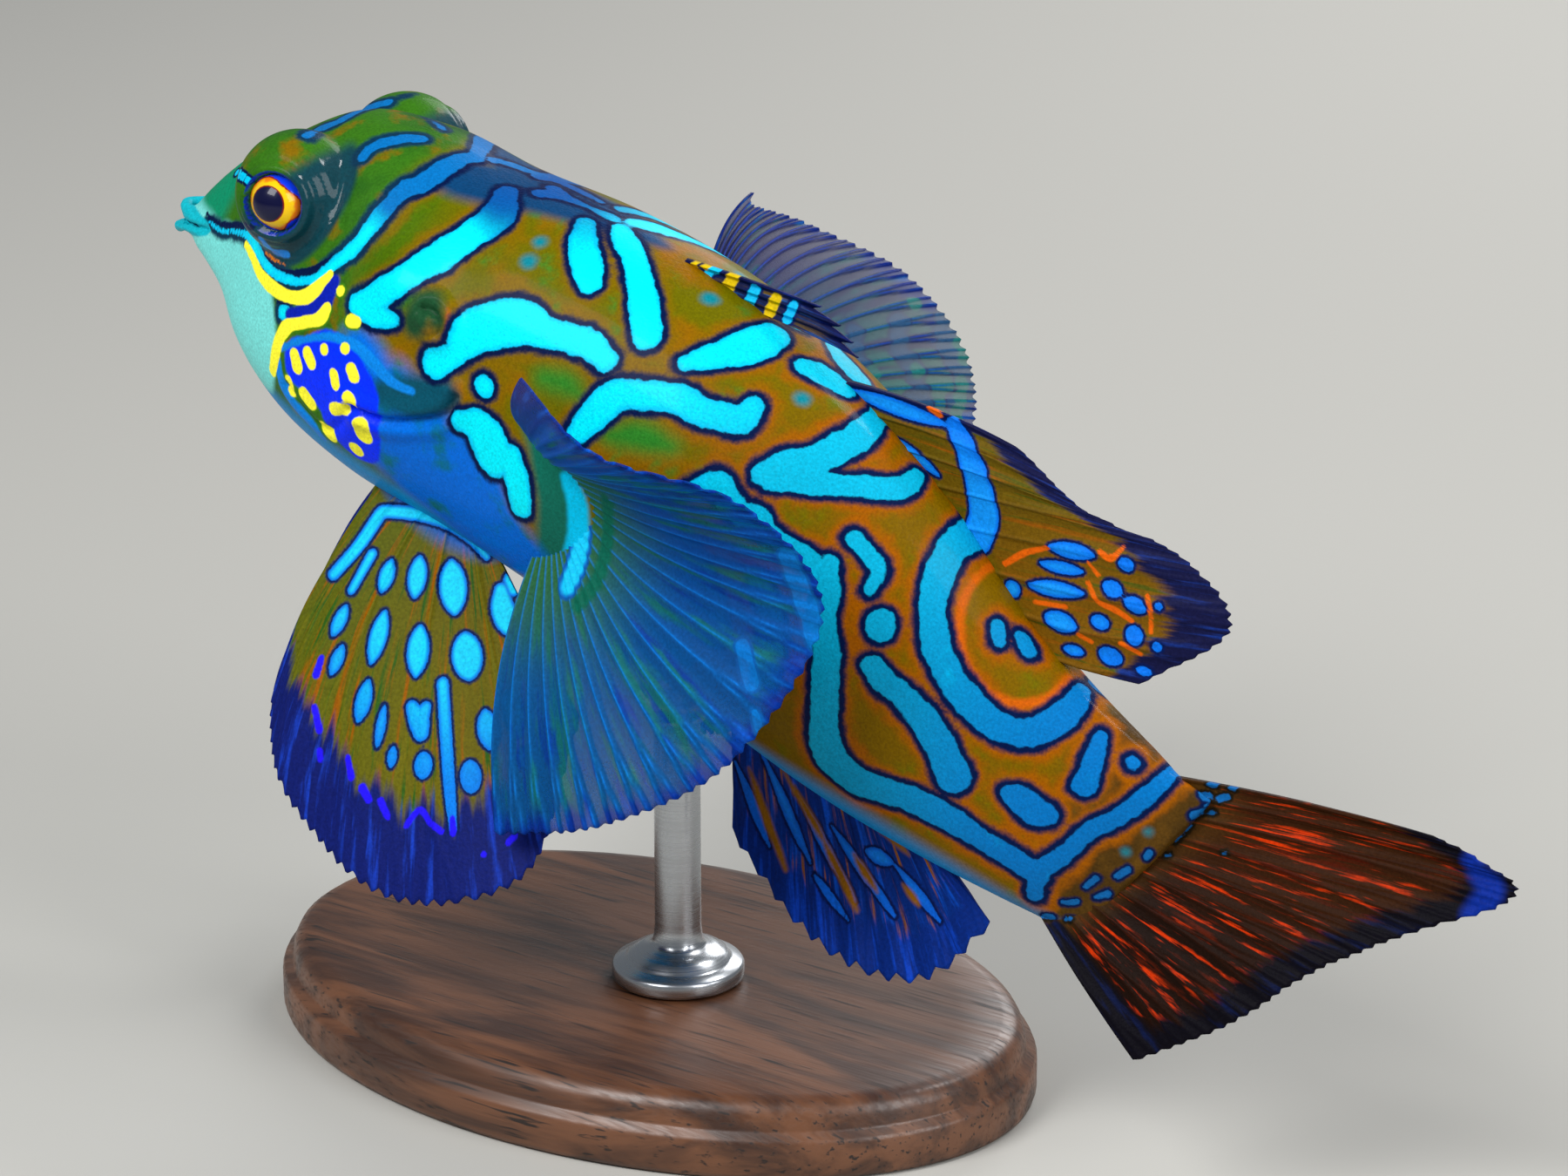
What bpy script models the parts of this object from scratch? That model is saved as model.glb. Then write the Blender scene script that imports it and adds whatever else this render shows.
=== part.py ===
"""Mandarinfish (Synchiropus splendidus), a still life-size model on a display stand.

The fish is laid out straight first, in its own frame and in millimetres: x runs from the
lips to the tail, y to the fish's right, z up. The last step of each piece twists the
rear of the body a little, pitches the fish nose-up and sets it over the stand, in metres.
The part's origin is the middle of the stand's underside, +Z up, with the head towards -X.
"""
import bpy
import bmesh
import numpy as np
from math import cos, pi, radians, sin

NAME = "mandarinfish"
MM = 0.001

# Pose on the stand
PITCH = radians(22.0)
TWIST = radians(14.0)
TWIST_FROM = 24.0
TWIST_TO = 54.0
TWIST_HEIGHT = 3.0
MOUTH_BACK = 26.0
MOUTH_HEIGHT = 34.5

# Body: x, top, bottom, height of the widest level, half the width
STATION = np.array([
    (0.35, 1.4, -0.3, 0.5, 0.65),
    (0.9, 2.6, -0.65, 0.6, 1.1),
    (2.2, 4.9, -0.95, 0.8, 1.8),
    (4.0, 7.1, -1.5, 1.1, 2.75),
    (6.4, 9.7, -2.7, 1.4, 4.5),
    (10.0, 11.1, -3.8, 2.0, 6.25),
    (14.8, 11.6, -4.3, 2.8, 7.1),
    (20.4, 12.8, -3.9, 3.8, 7.1),
    (27.8, 13.3, -3.8, 4.1, 6.9),
    (34.4, 12.4, -4.2, 3.6, 6.2),
    (41.0, 10.1, -4.5, 2.6, 4.9),
    (46.6, 7.3, -4.2, 1.8, 3.4),
    (54.0, 5.5, -3.3, 1.1, 1.6),
])
NOSE_X = 0.35
HEAD_END = 17.5
TAIL_START = 46.0
BODY_END = 54.0
SLANT = 0.27
SLANT_FROM = 44.0
SLANT_LENGTH = 10.0
SIDES = 32
GAP = 0.3

# Swellings of the head and flank: x, half-width side, z, reach, height
SWELLING = (
    (15.4, 6.4, 7.9, 1.5, 0.7),
    (15.0, 7.0, 3.2, 3.0, 0.45),
    (26.0, 6.8, 3.2, 2.4, 0.5),
)

# Eyes
EYE_BULGE = (7.55, 3.85, 7.1)
EYE_BULGE_RADIUS = 2.88
EYE_LOOK = (0.15, 0.97, 0.14)
EYEBALL_RADIUS = 1.5
EYEBALL_OUT = 1.43
LID_RADIUS = 1.62
LID_THICKNESS = 0.24

# Mouth and nostrils
LIP_LOOP = ((2.6, 1.6), (1.8, 1.35), (0.85, 0.95), (0.25, 0.55), (0.05, 0.0))
LIP_THICKNESS = 0.42
UPPER_LIP = 1.1
LOWER_LIP = -0.2
MOUTH_LINE = 0.45
MOUTH_OPENING = 0.26
MOUTH_CORNER = 3.0
MOUTH_FALL = 0.08
MOUTH_HALF_WIDTH = 3.0
NOSTRIL = (3.5, 1.85, 4.9)
NOSTRIL_RADIUS = 0.22
NOSTRIL_RIM = 0.42
NOSTRIL_WAY = (-0.45, 0.35, 0.75)

# Gill opening: a short slit behind the bump above the gill cover
GILL_SLIT = ((16.1, 6.2, 8.3), (16.35, 6.3, 7.75), (16.6, 6.4, 7.2))
GILL_SLIT_RADIUS = 0.3

# Fins: half thickness at the root and at the edge, and how far a ray stands proud
MEMBRANE_ROOT = 0.27
MEMBRANE_EDGE = 0.15
RAY_PROUD = 0.13

# Stand
BASE_LENGTH = 38.0
BASE_WIDTH = 26.0
BASE_THICKNESS = 3.5
BASE_SIDES = 48
BASE_EDGE = 0.6
ROD_RADIUS = 1.1
ROD_AT = 31.0
COLLAR_RADIUS = 3.0
COLLAR_HEIGHT = 1.2
PAD_RADIUS = 2.1
PAD_HEIGHT = 1.4


def clear_scene():
    for item in list(bpy.data.objects):
        bpy.data.objects.remove(item, do_unlink=True)


def new_collection(name):
    group = bpy.data.collections.new(name)
    bpy.context.scene.collection.children.link(group)
    return group


def paint(name, colour, roughness, metallic=0.0):
    """A plain Principled material."""
    material = bpy.data.materials.new(name)
    material.use_nodes = True
    shader = material.node_tree.nodes["Principled BSDF"]
    shader.inputs["Base Color"].default_value = (*colour, 1.0)
    shader.inputs["Roughness"].default_value = roughness
    shader.inputs["Metallic"].default_value = metallic
    material.diffuse_color = (*colour, 1.0)
    return material


def smooth_step(value, start, end):
    t = np.clip((value - start) / (end - start), 0.0, 1.0)
    return t * t * (3.0 - 2.0 * t)


def spline(x, knots, values):
    """Cubic Hermite curve through the knots, with mean slopes."""
    slope = np.gradient(values, knots)
    i = np.clip(np.searchsorted(knots, x) - 1, 0, len(knots) - 2)
    step = knots[i + 1] - knots[i]
    t = np.clip((x - knots[i]) / step, 0.0, 1.0)
    near = (2 * t**3 - 3 * t**2 + 1) * values[i] + (t**3 - 2 * t**2 + t) * step * slope[i]
    far = (3 * t**2 - 2 * t**3) * values[i + 1] + (t**3 - t**2) * step * slope[i + 1]
    return near + far


def station(x, column):
    return float(spline(x, STATION[:, 0], STATION[:, column]))


def back_at(x):
    return station(x, 1)


def belly_at(x):
    return station(x, 2)


def body_section(x, proud=0.0):
    """One ring of the body, from the back round by the fish's right."""
    top, bottom, level, half = (station(x, column) for column in (1, 2, 3, 4))
    turn = np.arange(SIDES) * 2 * pi / SIDES
    across, up = np.sin(turn), np.cos(turn)
    y = half * np.sign(across) * np.abs(across) ** 0.9
    above = level + (top - level) * np.abs(up) ** 0.92
    below = level - (level - bottom) * np.abs(up) ** 0.85
    z = np.where(up > 0, above, below)
    outward = np.stack([y * (top - bottom) / (2 * half), (z - level)], 1)
    outward /= np.linalg.norm(outward, axis=1)[:, None]
    for at, side, height, reach, rise in SWELLING:
        for hand in (-1.0, 1.0):
            near = ((x - at) ** 2 + (y - hand * side) ** 2 + (z - height) ** 2) / reach**2
            y = y + outward[:, 0] * rise * np.exp(-near)
            z = z + outward[:, 1] * rise * np.exp(-near)
    y = y + outward[:, 0] * proud
    z = z + outward[:, 1] * proud
    slant = SLANT * np.clip((x - SLANT_FROM) / SLANT_LENGTH, 0.0, 1.0)
    return np.stack([x + slant * (z - station(BODY_END, 3)), y, z], 1)


def posed(points):
    """Fish frame in millimetres to the part's frame in metres."""
    points = np.asarray(points, float)
    turn = TWIST * smooth_step(points[:, 0], TWIST_FROM, TWIST_TO)
    y = points[:, 1]
    z = points[:, 2] - TWIST_HEIGHT
    right = y * np.cos(turn) + z * np.sin(turn)
    up = TWIST_HEIGHT - y * np.sin(turn) + z * np.cos(turn)
    x = points[:, 0] * cos(PITCH) + up * sin(PITCH) - MOUTH_BACK
    height = up * cos(PITCH) - points[:, 0] * sin(PITCH) + MOUTH_HEIGHT
    return np.stack([x, right, height], 1) * MM


def add_object(name, vertices, faces, material, group, in_fish_frame=True):
    """A mesh object whose faces point outwards."""
    mesh = bpy.data.meshes.new(name)
    place = posed(vertices) if in_fish_frame else np.asarray(vertices, float) * MM
    mesh.from_pydata([tuple(p) for p in place], [], faces)
    shell = bmesh.new()
    shell.from_mesh(mesh)
    bmesh.ops.remove_doubles(shell, verts=shell.verts, dist=1e-7)
    bmesh.ops.recalc_face_normals(shell, faces=shell.faces)
    shell.to_mesh(mesh)
    shell.free()
    mesh.shade_smooth()
    mesh.set_sharp_from_angle(angle=radians(40.0))
    if material is not None:
        mesh.materials.append(material)
    item = bpy.data.objects.new(name, mesh)
    group.objects.link(item)
    return item


def loft(rings):
    """Vertices and triangles of a tube through rings, closed by a fan at each end."""
    rings = np.asarray(rings)
    count, sides = rings.shape[:2]
    vertices = [tuple(p) for p in rings.reshape(-1, 3)]
    faces = []
    for i in range(count - 1):
        for j in range(sides):
            k = (j + 1) % sides
            a, b = i * sides + j, i * sides + k
            c, d = a + sides, b + sides
            if j < sides // 2:
                faces += [(a, b, d), (a, d, c)]
            else:
                faces += [(a, b, c), (b, d, c)]
    for ring in (0, count - 1):
        vertices.append(tuple(rings[ring].mean(axis=0)))
        middle = len(vertices) - 1
        for j in range(sides):
            faces.append((middle, ring * sides + j, ring * sides + (j + 1) % sides))
    return vertices, faces


def body_length(start, end, spacing, name, material, group, proud=0.0):
    """A length of the body between two stations."""
    count = max(3, round((end - start) / spacing) + 1)
    rings = [body_section(x, proud) for x in np.linspace(start, end, count)]
    vertices, faces = loft(rings)
    return add_object(name, vertices, faces, material, group)


def ball(name, centre, radii, group, segments=20, rings=12, material=None):
    """An ellipsoid in the fish frame."""
    shell = bmesh.new()
    bmesh.ops.create_uvsphere(shell, u_segments=segments, v_segments=rings, radius=1.0)
    vertices = [[centre[k] + v.co[k] * radii[k] for k in range(3)] for v in shell.verts]
    faces = [[v.index for v in face.verts] for face in shell.faces]
    shell.free()
    return add_object(name, vertices, faces, material, group)


def tube(name, path, radius, group, sides=8):
    """A round bar along a path in the fish frame, with flat ends."""
    path = np.asarray(path, float)
    along = np.gradient(path, axis=0)
    along /= np.linalg.norm(along, axis=1)[:, None]
    upward = np.array((0.0, 0.0, 1.0))
    turn = np.arange(sides) * 2 * pi / sides
    rings = []
    for point, way in zip(path, along):
        side = np.cross(way, upward)
        side /= np.linalg.norm(side)
        lift = np.cross(side, way)
        rings.append(point + radius * (np.cos(turn)[:, None] * side + np.sin(turn)[:, None] * lift))
    vertices, faces = loft(rings)
    return add_object(name, vertices, faces, None, group)


def ring_round(name, centre, axis, radius, thickness, group, segments=16, sides=6):
    """A torus round an axis in the fish frame."""
    axis = np.asarray(axis, float) / np.linalg.norm(axis)
    first = np.cross(axis, (1.0, 0.0, 0.0))
    first /= np.linalg.norm(first)
    second = np.cross(axis, first)
    vertices = []
    faces = []
    for i in range(segments):
        a = 2 * pi * i / segments
        out = first * cos(a) + second * sin(a)
        for j in range(sides):
            b = 2 * pi * j / sides
            place = np.asarray(centre) + out * (radius + thickness * cos(b)) + axis * thickness * sin(b)
            vertices.append(tuple(place))
            following = ((i + 1) % segments) * sides
            faces.append((i * sides + j, i * sides + (j + 1) % sides,
                          following + (j + 1) % sides, following + j))
    return add_object(name, vertices, faces, None, group)


def apply_boolean(item, operation, group, tools, solver="EXACT"):
    """One Boolean with a collection of closed meshes, applied, and the tools removed."""
    modifier = item.modifiers.new(operation.title(), "BOOLEAN")
    modifier.operation = operation
    modifier.operand_type = "COLLECTION"
    modifier.collection = group
    modifier.solver = solver
    bpy.context.view_layer.update()
    evaluated = item.evaluated_get(bpy.context.evaluated_depsgraph_get())
    result = bpy.data.meshes.new_from_object(evaluated)
    item.modifiers.clear()
    old = item.data
    item.data = result
    bpy.data.meshes.remove(old)
    for tool in tools:
        bpy.data.objects.remove(tool, do_unlink=True)
    keep_largest(item.data)


def keep_largest(mesh):
    """Tidy a mesh after a Boolean and keep its largest closed surface."""
    shell = bmesh.new()
    shell.from_mesh(mesh)
    bmesh.ops.remove_doubles(shell, verts=shell.verts, dist=0.004 * MM)
    bmesh.ops.dissolve_degenerate(shell, dist=0.002 * MM, edges=shell.edges)
    bmesh.ops.triangulate(shell, faces=[f for f in shell.faces if len(f.verts) > 3])
    waiting = set(shell.faces)
    pieces = []
    while waiting:
        stack = [waiting.pop()]
        piece = []
        while stack:
            face = stack.pop()
            piece.append(face)
            for edge in face.edges:
                for other in edge.link_faces:
                    if other in waiting:
                        waiting.discard(other)
                        stack.append(other)
        pieces.append(piece)
    pieces.sort(key=len, reverse=True)
    spare = [face for piece in pieces[1:] for face in piece]
    if spare:
        bmesh.ops.delete(shell, geom=spare, context="FACES")
    loose = [v for v in shell.verts if not v.link_faces]
    if loose:
        bmesh.ops.delete(shell, geom=loose, context="VERTS")
    shell.to_mesh(mesh)
    shell.free()
    mesh.shade_smooth()
    mesh.set_sharp_from_angle(angle=radians(40.0))


def eye_look(hand):
    look = np.array((EYE_LOOK[0], EYE_LOOK[1] * hand, EYE_LOOK[2]))
    return look / np.linalg.norm(look)


def eye_centre(hand):
    bulge = np.array((EYE_BULGE[0], EYE_BULGE[1] * hand, EYE_BULGE[2]))
    return bulge + eye_look(hand) * EYEBALL_OUT


def lip_path(height):
    """The U of one lip, from the left corner round the front to the right corner."""
    left = [(x, -y, height - MOUTH_FALL * x) for x, y in LIP_LOOP]
    right = [(x, y, height - MOUTH_FALL * x) for x, y in LIP_LOOP[-2::-1]]
    return left + right


def build_head(material, parts, cutters):
    """Head with eye bulges, lids, lips, nostrils and gill openings in one node."""
    head = body_length(NOSE_X, HEAD_END - GAP / 2, 0.95, "head", material, parts)
    added = new_collection("head_pieces")
    pieces = []
    for hand in (-1.0, 1.0):
        bulge = (EYE_BULGE[0], EYE_BULGE[1] * hand, EYE_BULGE[2])
        pieces.append(ball("bulge", bulge, (EYE_BULGE_RADIUS,) * 3, added, 20, 12))
        look = eye_look(hand)
        rim = np.array(bulge) + look * (EYE_BULGE_RADIUS**2 - LID_RADIUS**2) ** 0.5
        pieces.append(ring_round("lid", rim, look, LID_RADIUS, LID_THICKNESS, added))
        place = (NOSTRIL[0], NOSTRIL[1] * hand, NOSTRIL[2])
        pieces.append(ball("nostril_rim", place, (NOSTRIL_RIM,) * 3, added, 10, 6))
    pieces.append(tube("upper_lip", lip_path(UPPER_LIP), LIP_THICKNESS, added))
    pieces.append(tube("lower_lip", lip_path(LOWER_LIP), LIP_THICKNESS, added))
    apply_boolean(head, "UNION", added, pieces)
    bpy.data.collections.remove(added)

    cut = []
    for hand in (-1.0, 1.0):
        socket = EYEBALL_RADIUS + GAP
        cut.append(ball("socket", eye_centre(hand), (socket,) * 3, cutters, 16, 10))
        pit = np.array((NOSTRIL[0], NOSTRIL[1] * hand, NOSTRIL[2]))
        way = np.array((NOSTRIL_WAY[0], NOSTRIL_WAY[1] * hand, NOSTRIL_WAY[2]))
        cut.append(tube("nostril", (pit, pit + way / 2, pit + way), NOSTRIL_RADIUS, cutters, 6))
        slit = [(x, y * hand, z) for x, y, z in GILL_SLIT]
        cut.append(tube("gill_opening", slit, GILL_SLIT_RADIUS, cutters, 6))
    slot = [(x, 0.0, MOUTH_LINE - MOUTH_FALL * x) for x in (-1.0, 1.0, MOUTH_CORNER)]
    cut.append(flat_wedge("mouth_line", slot, MOUTH_HALF_WIDTH, MOUTH_OPENING, cutters))
    apply_boolean(head, "DIFFERENCE", cutters, cut)
    return head


def flat_wedge(name, path, half_width, height, group):
    """A flat slot along a path, its height falling to a thin edge at the end."""
    rings = []
    for i, (x, _, z) in enumerate(path):
        half = height / 2 * (1.0 - 0.35 * i / (len(path) - 1))
        rings.append([(x, -half_width, z - half), (x, half_width, z - half),
                      (x, half_width, z + half), (x, -half_width, z + half)])
    vertices, faces = loft(rings)
    return add_object(name, vertices, faces, None, group)


def build_eyes(material, parts):
    for hand, side in ((-1.0, "left"), (1.0, "right")):
        ball("eye_" + side, eye_centre(hand), (EYEBALL_RADIUS,) * 3, parts, 16, 10, material)


def ray_sheet(key_rays, count, rows, columns_per_ray, scallop):
    """Middle surface of a fin and its half thickness, on a grid of columns and rows.

    key_rays holds, for a few rays from first to last, the root, the tip and how far the
    middle of the ray bows out. Columns follow the rays, and the edge is scalloped."""
    keys = np.array(key_rays, float).reshape(len(key_rays), 9)
    knots = np.linspace(0.0, 1.0, len(keys))
    columns = (count - 1) * columns_per_ray + 1
    sheet = np.zeros((columns, rows + 1, 3))
    half = np.zeros((columns, rows + 1))
    for i in range(columns):
        t = i / (columns - 1)
        values = np.array([spline(t, knots, keys[:, k]) for k in range(9)])
        root, tip, bow = values[:3], values[3:6], values[6:]
        phase = (i % columns_per_ray) / columns_per_ray
        on_ray = cos(2 * pi * phase)
        reach = 1.0 - scallop * (1.0 - on_ray) / 2
        for j in range(rows + 1):
            s = reach * j / rows
            sheet[i, j] = root + s * (tip - root) + 4 * s * (1 - s) * bow
            thin = MEMBRANE_ROOT + (MEMBRANE_EDGE - MEMBRANE_ROOT) * j / rows
            half[i, j] = thin + RAY_PROUD * max(0.0, on_ray) * (1.0 - 0.6 * j / rows)
    return sheet, half


def add_fin(name, key_rays, count, material, group, rows=8, columns_per_ray=3, scallop=0.06):
    """A closed fin: two faces split into triangles alike, with a rim between them."""
    sheet, half = ray_sheet(key_rays, count, rows, columns_per_ray, scallop)
    across = np.gradient(sheet, axis=0)
    along = np.gradient(sheet, axis=1)
    normal = np.cross(across, along)
    normal /= np.linalg.norm(normal, axis=2)[:, :, None]
    columns = sheet.shape[0]
    width = rows + 1
    front = (sheet + normal * half[:, :, None]).reshape(-1, 3)
    rear = (sheet - normal * half[:, :, None]).reshape(-1, 3)
    vertices = [tuple(p) for p in front] + [tuple(p) for p in rear]
    shift = len(front)
    faces = []
    for i in range(columns - 1):
        for j in range(rows):
            a, b = i * width + j, (i + 1) * width + j
            c, d = b + 1, a + 1
            faces += [(a, b, c), (a, c, d)]
            faces += [(shift + a, shift + c, shift + b), (shift + a, shift + d, shift + c)]
    rim = [(i * width, (i + 1) * width) for i in range(columns - 1)]
    rim += [(i * width + rows, (i + 1) * width + rows) for i in range(columns - 1)]
    rim += [(j, j + 1) for j in range(rows)]
    last = (columns - 1) * width
    rim += [(last + j, last + j + 1) for j in range(rows)]
    for a, b in rim:
        faces += [(a, b, shift + b), (a, shift + b, shift + a)]
    return add_object(name, vertices, faces, material, group)


def on_back(x, rise=0.0):
    return (x, 0.0, back_at(x) + GAP + rise)


def on_belly(x):
    return (x, 0.0, belly_at(x) - GAP)


def on_tail(part):
    """Root of a tail-fin ray: part runs from 0 at the top of the tail's end to 1 below."""
    top, bottom = back_at(BODY_END), belly_at(BODY_END)
    z = top - 0.35 + (bottom - top + 0.7) * part
    return (BODY_END + GAP + SLANT * (z - station(BODY_END, 3)), 0.0, z)


def build_middle_fins(material, parts):
    """The two dorsal fins, the anal fin and the tail fin, rooted on the middle line."""
    still = (0.0, 0.0, 0.0)
    first = [
        (on_back(22.0), (31.8, -0.3, 15.0), (0.0, 0.0, 0.25)),
        (on_back(24.2), (33.4, -0.3, 14.5), (0.0, 0.0, 0.2)),
        (on_back(26.4), (34.2, -0.3, 13.8), (0.0, 0.0, 0.2)),
    ]
    add_fin("dorsal_fin_first", first, 4, material, parts, rows=6, scallop=0.12)
    second = [
        (on_back(32.8), (42.4, -0.6, 14.1), (0.0, -0.2, 0.5)),
        (on_back(36.2), (46.6, -0.8, 13.3), (0.0, -0.4, 0.3)),
        (on_back(39.8), (51.0, -0.8, 13.9), (0.0, -0.5, 0.1)),
        (on_back(43.4), (54.3, -0.6, 12.4), (0.0, -0.5, -0.2)),
        (on_back(46.6), (51.9, -0.4, 8.1), (0.0, -0.2, -0.1)),
    ]
    add_fin("dorsal_fin_second", second, 8, material, parts)
    anal = [
        (on_belly(34.6), (37.6, 0.0, -9.5), (-0.2, 0.3, 0.0)),
        (on_belly(37.6), (42.4, 0.0, -10.8), (-0.2, 0.4, 0.0)),
        (on_belly(40.6), (46.4, 0.0, -10.6), (-0.2, 0.5, 0.0)),
        (on_belly(43.4), (49.6, 0.0, -8.8), (-0.1, 0.4, 0.0)),
        (on_belly(46.2), (51.0, 0.0, -5.0), still),
    ]
    add_fin("anal_fin", anal, 8, material, parts, rows=6, scallop=0.1)
    caudal = [
        (on_tail(0.0), (66.2, 0.3, 9.7), (0.0, 0.5, 0.1)),
        (on_tail(0.2), (70.3, 0.6, 9.5), (0.0, 0.6, 0.1)),
        (on_tail(0.42), (67.0, 0.2, 5.2), (0.0, 0.4, 0.0)),
        (on_tail(0.62), (64.6, -0.4, 1.8), (0.0, 0.1, 0.0)),
        (on_tail(0.82), (62.8, -0.9, -1.9), (0.0, -0.2, 0.0)),
        (on_tail(1.0), (60.0, -1.2, -5.7), (0.0, -0.3, 0.0)),
    ]
    add_fin("caudal_fin", caudal, 10, material, parts)


def mirror(rays):
    """Rays of the other side of the fish."""
    return [tuple((x, -y, z) for x, y, z in ray) for ray in rays]


def build_side_fins(material, parts, cutters):
    """Pectoral and pelvic fins, started inside the body and cut clear of it."""
    still = (0.0, 0.0, 0.0)
    outward = (0.0, -1.0, 0.0)
    pectoral_left = [
        ((24.8, -5.6, 5.0), (27.8, -15.6, 13.4), (-0.6, -0.6, -0.4)),
        ((25.0, -5.6, 4.6), (32.6, -16.2, 12.0), (-0.4, -0.8, 0.0)),
        ((25.2, -5.6, 4.2), (37.6, -12.4, 10.8), (-0.2, -1.2, 0.4)),
        ((25.4, -5.6, 3.7), (41.6, -9.8, 6.8), outward),
        ((25.6, -5.6, 3.1), (41.0, -10.6, -0.8), outward),
        ((25.8, -5.6, 2.5), (37.0, -11.0, -6.2), outward),
        ((26.0, -5.6, 1.9), (31.5, -10.2, -10.4), (-1.0, -0.6, 0.0)),
    ]
    pectoral_right = [
        ((24.8, 5.6, 5.0), (17.6, 16.2, 7.6), (-2.6, 0.6, 0.6)),
        ((25.0, 5.6, 4.6), (20.6, 18.4, 7.2), (-1.8, 0.4, 0.6)),
        ((25.3, 5.6, 4.0), (25.2, 20.6, 6.6), (-1.0, 0.0, 0.6)),
        ((25.6, 5.6, 3.4), (29.8, 21.0, 4.6), (-0.4, 0.0, 0.3)),
        ((25.8, 5.6, 2.7), (31.2, 20.0, 0.8), still),
        ((26.0, 5.6, 2.0), (27.6, 15.8, -4.8), (0.0, 0.0, -0.4)),
    ]
    down = np.array((0.0, -0.5, -0.866))
    root = np.array((16.0, -3.9, -2.4))

    def spread(along, outward_from_root, reach):
        place = root + np.array((along, 0.0, 0.0)) + down * reach
        return tuple(place + np.array((0.0, -outward_from_root, 0.0)))

    pelvic_left = [
        (spread(0.5, 0.0, 0.0), spread(1.1, 0.0, 8.0), (-0.3, -0.3, 0.0)),
        (spread(1.7, 0.0, 0.0), spread(2.8, 0.2, 12.6), (-0.7, -0.6, 0.0)),
        (spread(3.0, 0.0, 0.0), spread(7.4, 0.3, 15.0), (-0.6, -0.9, 0.0)),
        (spread(4.3, 0.0, 0.0), spread(13.0, 0.2, 15.0), (0.0, -0.9, 0.0)),
        (spread(5.6, 0.0, 0.0), spread(17.2, 0.0, 10.8), (0.4, -0.5, 0.0)),
        (spread(6.9, 0.0, 0.0), spread(15.0, 0.0, 3.9), (0.2, -0.2, 0.0)),
    ]
    pelvic_right = mirror([
        (spread(0.8, 0.0, 0.0), spread(4.2, -1.2, 7.0), (-0.6, -0.3, 0.0)),
        (spread(2.0, 0.0, 0.0), spread(7.6, -1.6, 10.6), (-0.7, -0.5, 0.0)),
        (spread(3.2, 0.0, 0.0), spread(12.2, -2.0, 11.6), (-0.3, -0.7, 0.0)),
        (spread(4.4, 0.0, 0.0), spread(15.6, -1.8, 9.4), (0.0, -0.7, 0.0)),
        (spread(5.6, 0.0, 0.0), spread(17.0, -1.2, 6.0), (0.2, -0.4, 0.0)),
        (spread(6.8, 0.0, 0.0), spread(15.6, -0.6, 3.0), (0.2, -0.2, 0.0)),
    ])
    fins = [
        add_fin("pectoral_fin_left", pectoral_left, 13, material, parts, rows=7),
        add_fin("pectoral_fin_right", pectoral_right, 13, material, parts, rows=7),
        add_fin("pelvic_fin_left", pelvic_left, 7, material, parts),
        add_fin("pelvic_fin_right", pelvic_right, 7, material, parts),
    ]
    for fin in fins:
        clear = body_length(NOSE_X, BODY_END, 1.0, "body_clearance", None, cutters, GAP)
        apply_boolean(fin, "DIFFERENCE", cutters, [clear], "MANIFOLD")


def build_stand(wood, metal, parts, cutters):
    """A flat oval base, and one rod whose pad fits the belly."""
    turn = np.arange(BASE_SIDES) * 2 * pi / BASE_SIDES
    rings = []
    for inset, height in ((0.0, 0.0), (0.0, BASE_THICKNESS - BASE_EDGE),
                          (BASE_EDGE * 0.3, BASE_THICKNESS - BASE_EDGE * 0.3),
                          (BASE_EDGE, BASE_THICKNESS)):
        rings.append([((BASE_LENGTH / 2 - inset) * cos(a), (BASE_WIDTH / 2 - inset) * sin(a), height)
                      for a in turn])
    vertices, faces = loft(rings)
    add_object("stand_base", vertices, faces, wood, parts, in_fish_frame=False)

    foot = BASE_THICKNESS + GAP
    under = posed([(ROD_AT, 0.0, belly_at(ROD_AT))])[0] / MM
    profile = ((COLLAR_RADIUS, foot), (COLLAR_RADIUS, foot + COLLAR_HEIGHT * 0.7),
               (COLLAR_RADIUS * 0.8, foot + COLLAR_HEIGHT), (ROD_RADIUS, foot + COLLAR_HEIGHT),
               (ROD_RADIUS, under[2] - PAD_HEIGHT * 2), (PAD_RADIUS, under[2] - PAD_HEIGHT),
               (PAD_RADIUS, under[2] + PAD_HEIGHT * 2))
    turn = np.arange(24) * 2 * pi / 24
    rings = [[(under[0] + r * cos(a), under[1] + r * sin(a), z) for a in turn] for r, z in profile]
    vertices, faces = loft(rings)
    rod = add_object("stand_rod", vertices, faces, metal, parts, in_fish_frame=False)
    clear = body_length(NOSE_X, BODY_END, 1.0, "body_clearance", None, cutters, GAP)
    apply_boolean(rod, "DIFFERENCE", cutters, [clear])


def main():
    clear_scene()
    parts = new_collection(NAME)
    cutters = new_collection("cutters")
    skin = paint("wet_skin", (0.05, 0.42, 0.55), 0.3)
    rear_skin = paint("wet_skin_rear", (0.42, 0.2, 0.03), 0.3)
    fin = paint("fin_membrane", (0.06, 0.16, 0.6), 0.35)
    eye = paint("eye", (0.75, 0.35, 0.03), 0.1)
    wood = paint("stand_base_wood", (0.1, 0.05, 0.025), 0.45)
    metal = paint("stand_rod_metal", (0.6, 0.6, 0.6), 0.3, 1.0)
    build_head(skin, parts, cutters)
    build_eyes(eye, parts)
    body_length(HEAD_END + GAP / 2, TAIL_START - GAP / 2, 1.4, "trunk", skin, parts)
    body_length(TAIL_START + GAP / 2, BODY_END, 1.0, "tail", rear_skin, parts)
    build_middle_fins(fin, parts)
    build_side_fins(fin, parts, cutters)
    build_stand(wood, metal, parts, cutters)


main()
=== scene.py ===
# Mandarinfish, a life-size still model held over a display stand by one short rod.
# The fish is laid out straight first, in millimetres: x from lips to tail, y to its right, z up.
from math import cos, pi, radians, sin

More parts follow.
